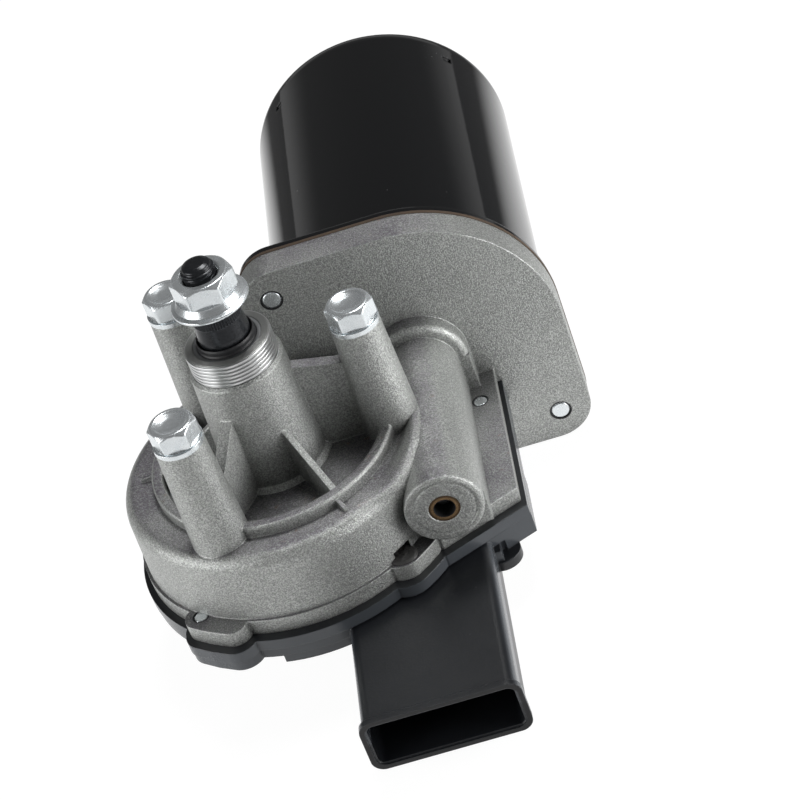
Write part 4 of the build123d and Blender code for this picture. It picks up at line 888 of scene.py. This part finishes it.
class MOTOR_OT_screw_gap_shades(bpy.types.Operator):
    """Dark rubber rings round the flush ends of the screws: painted shade for the gap round each end"""
    bl_idname = "motor.screw_seats"
    bl_label = "Screw Gap Shades"

    def execute(self, context):
        inner, outer = -45.5, -45.16
        # painted shade: each dark ring stands in for the shaded gap round a screw end
        points, faces = lathe([(1.78, inner), (2.05, inner), (2.02, outer), (1.8, outer)], 48, closed=True)
        gap_shades = set_on("cover_screw_seats", points, faces, COVER_SCREW_POINTS, "seal_rubber")
        finish_piece(gap_shades, "gearbox")

        front = -CAN_SCREW_LOW.y / MM
        inner, outer = front - 0.3, front + 0.04
        points, faces = lathe([(2.42, inner), (2.74, inner), (2.7, outer), (2.44, outer)], 48, closed=True)
        gap_shades = set_on("can_screw_seats", turned_front(points), faces, CAN_SCREW_POINTS, "seal_rubber")
        finish_piece(gap_shades, "gearbox")
        return {"FINISHED"}


class MOTOR_OT_seal(bpy.types.Operator):
    """Rubber shaft seal with its dust lip"""
    bl_idname = "motor.seal"
    bl_label = "Shaft Seal"

    def execute(self, context):
        low, high = SEAL_LOW.z / MM, SEAL_HIGH.z / MM
        outline = rounded([
            (6.1, low), (7.0, low), (7.0, 5.9), (6.75, 6.2), (6.8, high - 0.5), (6.65, high),
            (6.4, high), (6.3, high - 0.5), (6.1, high - 0.8), (6.1, low),
        ], 0.15)
        points, faces = lathe(filled(outline, 0.4)[:-1], 96, closed=True)
        seal = new_piece("seal_body", points, faces)
        finish_piece(seal, "gearbox", "seal_rubber", ["shaft_seal"])
        outline = rounded([
            (7.0, low), (8.0, low), (8.0, 5.78), (7.9, 5.88), (7.1, 5.88), (7.0, 5.75), (7.0, low),
        ], 0.1)
        points, faces = lathe(filled(outline, 0.4)[:-1], 96, closed=True)
        case = new_piece("seal_case", points, faces)
        finish_piece(case, "gearbox", "dull_steel")
        return {"FINISHED"}


class MOTOR_OT_peg(bpy.types.Operator):
    """Rough head of the cover's peg, melted over on the housing's lug"""
    bl_idname = "motor.peg"
    bl_label = "Staked Peg"

    def execute(self, context):
        outline = rounded([
            (0, -46.6), (0.9, -46.6), (0.95, -45.4), (3.3, -45.35), (3.4, -45.0), (2.9, -44.5), (1.6, -44.2),
            (0, -44.3),
        ], 0.5)
        roughness, lug_top, stem_radius = 0.14, -45.2, 1.2

        def shape(radius, height, angle):
            spot = Vector((radius * math.cos(angle), radius * math.sin(angle), height))
            lift = noise.fractal(spot * 1.3, 0.9, 2.0, 3) * roughness if height > lug_top else 0.0
            wide = 1.0 + 0.06 * math.cos(2 * angle + 0.6) if radius > stem_radius else 1.0
            return radius * wide, height + lift

        points, faces = lathe(filled(outline, 0.18), 72, shape, PEG_POINT)
        finish_piece(new_piece("peg_end", points, faces), "gearbox", "carbon")
        return {"FINISHED"}


def drum_shoulder():
    """Strip round part of the drum: from its top up to a rounded crest, and down its side."""
    crest_round, steps = 3.0, 60
    foot, foot_height = 31.0, -28.06
    stations = [  # angle, outer radius, height of the crest
        (-58, 35.85, -28.15), (-50, 36.4, -28.1), (-45, 37.5, -27.9), (-40, 38.5, -27.5), (-33, 38.8, -26.7),
        (-22, 38.3, -26.0), (-13, 37.8, -25.9), (0, 36.9, -25.9), (11, 36.1, -26.5), (24, 35.85, -28.15),
    ]
    start, end = stations[0][0], stations[-1][0]
    points, faces = [], []
    for i in range(steps + 1):
        angle = start + (end - start) * i / steps
        reach, crest = at_angle(stations, angle)
        inner = reach - crest_round
        profile = [(34.0, -28.7), (28.8, -28.6), (28.7, -28.1), (foot, foot_height)]
        for t in (0.25, 0.5, 0.75):
            rise = t * t * (3 - 2 * t)
            profile.append((foot + (inner - foot) * t, foot_height + (crest - foot_height) * rise))
        for j in range(9):
            t = math.pi / 2 * j / 8
            across, lift = crest_round * math.sin(t), crest_round * math.cos(t)
            profile.append((inner + across, crest - crest_round + lift))
        profile += [((reach + 36.0) / 2 - 0.1, -37.0), (35.9, -43.0), (35.2, -43.0), (34.6, -32.0)]
        turn = math.radians(angle)
        points += [(DRUM_MIDDLE_X + r * math.cos(turn), r * math.sin(turn), z) for r, z in profile]
    count = len(profile)
    for i in range(steps):
        for j in range(count):
            k = (j + 1) % count
            faces.append((i * count + j, i * count + k, (i + 1) * count + k, (i + 1) * count + j))
    faces += [tuple(reversed(range(count))), tuple(range(steps * count, (steps + 1) * count))]
    return points, faces


def tunnel_face_rim():
    """Raised rim and fine groove on the tunnel's front face, fading towards the lower left."""
    front, rim_inner = -TUNNEL_FRONT, 6.8
    rim_angle = math.radians(40)
    outline = rounded([
        (3.62, front - 0.4), (3.62, front + 0.04), (6.6, front + 0.16), (7.05, front + 0.05),
        (7.1, front - 0.3), (7.35, front - 0.3), (7.4, front + 0.3), (8.1, front + 0.52),
        (8.95, front + 0.1), (9.1, front - 0.9), (8.8, front - 1.2), (8.0, front - 0.8),
        (3.62, front - 0.4),
    ], 0.4)

    def fade(radius, height, angle):
        if radius > rim_inner and height > front - 0.35:
            height = front + (height - front) * (0.05 + 0.95 * (0.5 + 0.5 * math.cos(angle - rim_angle)))
        return radius, height

    points, faces = lathe(filled(outline, 0.3)[:-1], 120, fade, closed=True)
    return [(x + WORM_AXIS.x / MM, y, z + WORM_AXIS.z / MM) for x, y, z in turned_front(points)], faces


class MOTOR_OT_castings(bpy.types.Operator):
    """Cast shoulder where the drum's edge runs over the tunnel, and the rim of the tunnel's face"""
    bl_idname = "motor.castings"
    bl_label = "Shoulder and Face Rim"

    def execute(self, context):
        for name, shape in (("drum_shoulder", drum_shoulder), ("tunnel_face_rim", tunnel_face_rim)):
            finish_piece(new_piece(name, *shape()), "gearbox", "cast_aluminium", smooth=50)
        return {"FINISHED"}


class MOTOR_OT_stage(bpy.types.Operator):
    """Pale floor, soft lamps, white surroundings and the camera"""
    bl_idname = "motor.stage"
    bl_label = "Stage"

    def execute(self, context):
        scene = context.scene
        scene.view_settings.view_transform = "Standard"
        power = scene.motor_finish.lamp_power
        height = CAD_BOX[0][2] / MM - FLOOR_GAP
        corners = [(-1, -1), (1, -1), (1, 1), (-1, 1)]
        points = [(x * FLOOR_REACH, y * FLOOR_REACH, height) for x, y in corners]
        floor = new_piece("floor", points, [(0, 1, 2, 3)])
        floor.data.materials.append(stage_paper())
        world = bpy.data.worlds.new("soft_room")
        scene.world = world
        room_light(world)
        for name, place, target, size, watts in (
            ("lamp_left", (-460, -190, 100), (0, 0, -20), 0.34, power * 1.25),
            ("lamp_right", (360, -90, 10), (50, 0, -30), 0.26, power * 1.1),
            ("lamp_back", (200, 320, 860), (10, 0, -30), 0.34, power * 3.4),
        ):
            light = bpy.data.lights.new(name, "AREA")
            light.shape, light.size, light.energy = "SQUARE", size, watts
            lamp = bpy.data.objects.new(name, light)
            lamp.location = mm(*place)
            lamp.rotation_euler = (Vector(mm(*target)) - lamp.location).to_track_quat("-Z", "Y").to_euler()
            scene.collection.objects.link(lamp)
        lens = bpy.data.cameras.new("view")
        lens.lens, lens.sensor_width, lens.sensor_fit = 126.5, 36.0, "HORIZONTAL"
        lens.clip_start, lens.clip_end = 0.01, 50.0
        camera = bpy.data.objects.new("view", lens)
        right, up = Vector((0.95356, -0.09306, -0.28648)), Vector((0.28272, 0.60462, 0.74465))
        back = Vector((0.10392, -0.79106, 0.60284))
        turned = Matrix((right, up, back)).transposed().to_4x4()
        camera.matrix_world = Matrix.Translation(mm(*CAMERA_PLACE)) @ turned
        scene.collection.objects.link(camera)
        scene.camera = camera
        return {"FINISHED"}


def seen_only(tree):
    """1 for camera, mirror and glass rays, 0 for the rays that light the object."""
    path = tree.node("ShaderNodeLightPath").outputs
    seen = [Value(tree, path[key]) for key in ("Is Camera Ray", "Is Glossy Ray", "Is Transmission Ray")]
    return seen, seen[0].larger(seen[1]).larger(seen[2])


def stage_paper():
    """White paper with a soft shadow, bright in reflections near the object, and clear from below."""
    f = Finish("stage_paper")
    fibre = f.grain(40, 2.0)
    paper = f.node("ShaderNodeBsdfDiffuse", {}, {"Color": f.shade((0.86, 0.86, 0.86), 0.99 + 0.02 * fibre)})
    x, y = f.axes(mm(20, 30, 0))[:2]
    reach = (x * x + y * y) ** 0.5
    seen, shown = seen_only(f)
    pool = seen[0].larger(0.10 + 0.80 * (1 - reach.step(0.12, 0.34)))
    glow = f.node("ShaderNodeEmission", {}, {"Color": f.shade((1.0, 1.0, 1.0), 1.1 * pool)})
    amount = shown * (1 - 0.14 * seen[0])
    mixed = f.node("ShaderNodeMixShader", {}, {0: amount, 1: paper.outputs[0], 2: glow.outputs[0]})
    below = f.number("ShaderNodeNewGeometry", {}, {}, "Backfacing")
    clear = f.node("ShaderNodeBsdfTransparent")
    sheet = f.node("ShaderNodeMixShader", {}, {0: below, 1: mixed.outputs[0], 2: clear.outputs[0]})
    f.tree.links.new(sheet.outputs[0], f.output.inputs["Surface"])
    return f.material


def room_light(world):
    """White all round at the height of the object, with a dark ceiling."""
    world.use_nodes = True
    world.node_tree.nodes.clear()
    tree = Tree(world.node_tree)
    way = tree.node("ShaderNodeTexCoord").outputs["Generated"]
    up = Value(tree, tree.node("ShaderNodeSeparateXYZ", {}, {0: way}).outputs[2])
    seen, shown = seen_only(tree)
    ceiling = 0.11 + 0.22 * (1 - up.step(0.0, 0.30))
    level = seen[0].larger(shown * ceiling + (1 - shown) * (0.07 + 0.20 * (1 - up.step(0.0, 0.5))))
    light = tree.node("ShaderNodeBackground", {}, {"Color": tree.shade((1.0, 1.0, 1.0), level)})
    tree.node("ShaderNodeOutputWorld", {}, {0: light.outputs[0]})


class MOTOR_PT_panel(bpy.types.Panel):
    """Pieces and finishes of the wiper motor"""
    bl_idname = "MOTOR_PT_panel"
    bl_label = "Wiper Motor"
    bl_space_type = "VIEW_3D"
    bl_region_type = "UI"
    bl_category = "Wiper Motor"

    def draw(self, context):
        for group in (context.scene.motor_sizes, context.scene.motor_finish):
            box = self.layout.box()
            for key in group.__annotations__:
                box.prop(group, key)
        for operator in PIECES:
            self.layout.operator(operator.bl_idname)


PIECES = [
    MOTOR_OT_finishes, MOTOR_OT_collar, MOTOR_OT_shaft, MOTOR_OT_nut, MOTOR_OT_bolts, MOTOR_OT_cover_screws,
    MOTOR_OT_can_screws, MOTOR_OT_screw_gap_shades, MOTOR_OT_seal, MOTOR_OT_peg, MOTOR_OT_castings, MOTOR_OT_stage,
]
CLASSES = [MotorSizes, MotorFinish, *PIECES, MOTOR_PT_panel]


def register():
    for cls in CLASSES:
        bpy.utils.register_class(cls)
    bpy.types.Scene.motor_sizes = PointerProperty(type=MotorSizes)
    bpy.types.Scene.motor_finish = PointerProperty(type=MotorFinish)


def unregister():
    del bpy.types.Scene.motor_sizes, bpy.types.Scene.motor_finish
    for cls in reversed(CLASSES):
        bpy.utils.unregister_class(cls)


def main():
    register()
    for operator in PIECES:
        getattr(bpy.ops.motor, operator.bl_idname.split(".")[1])()


if __name__ == "__main__":
    main()
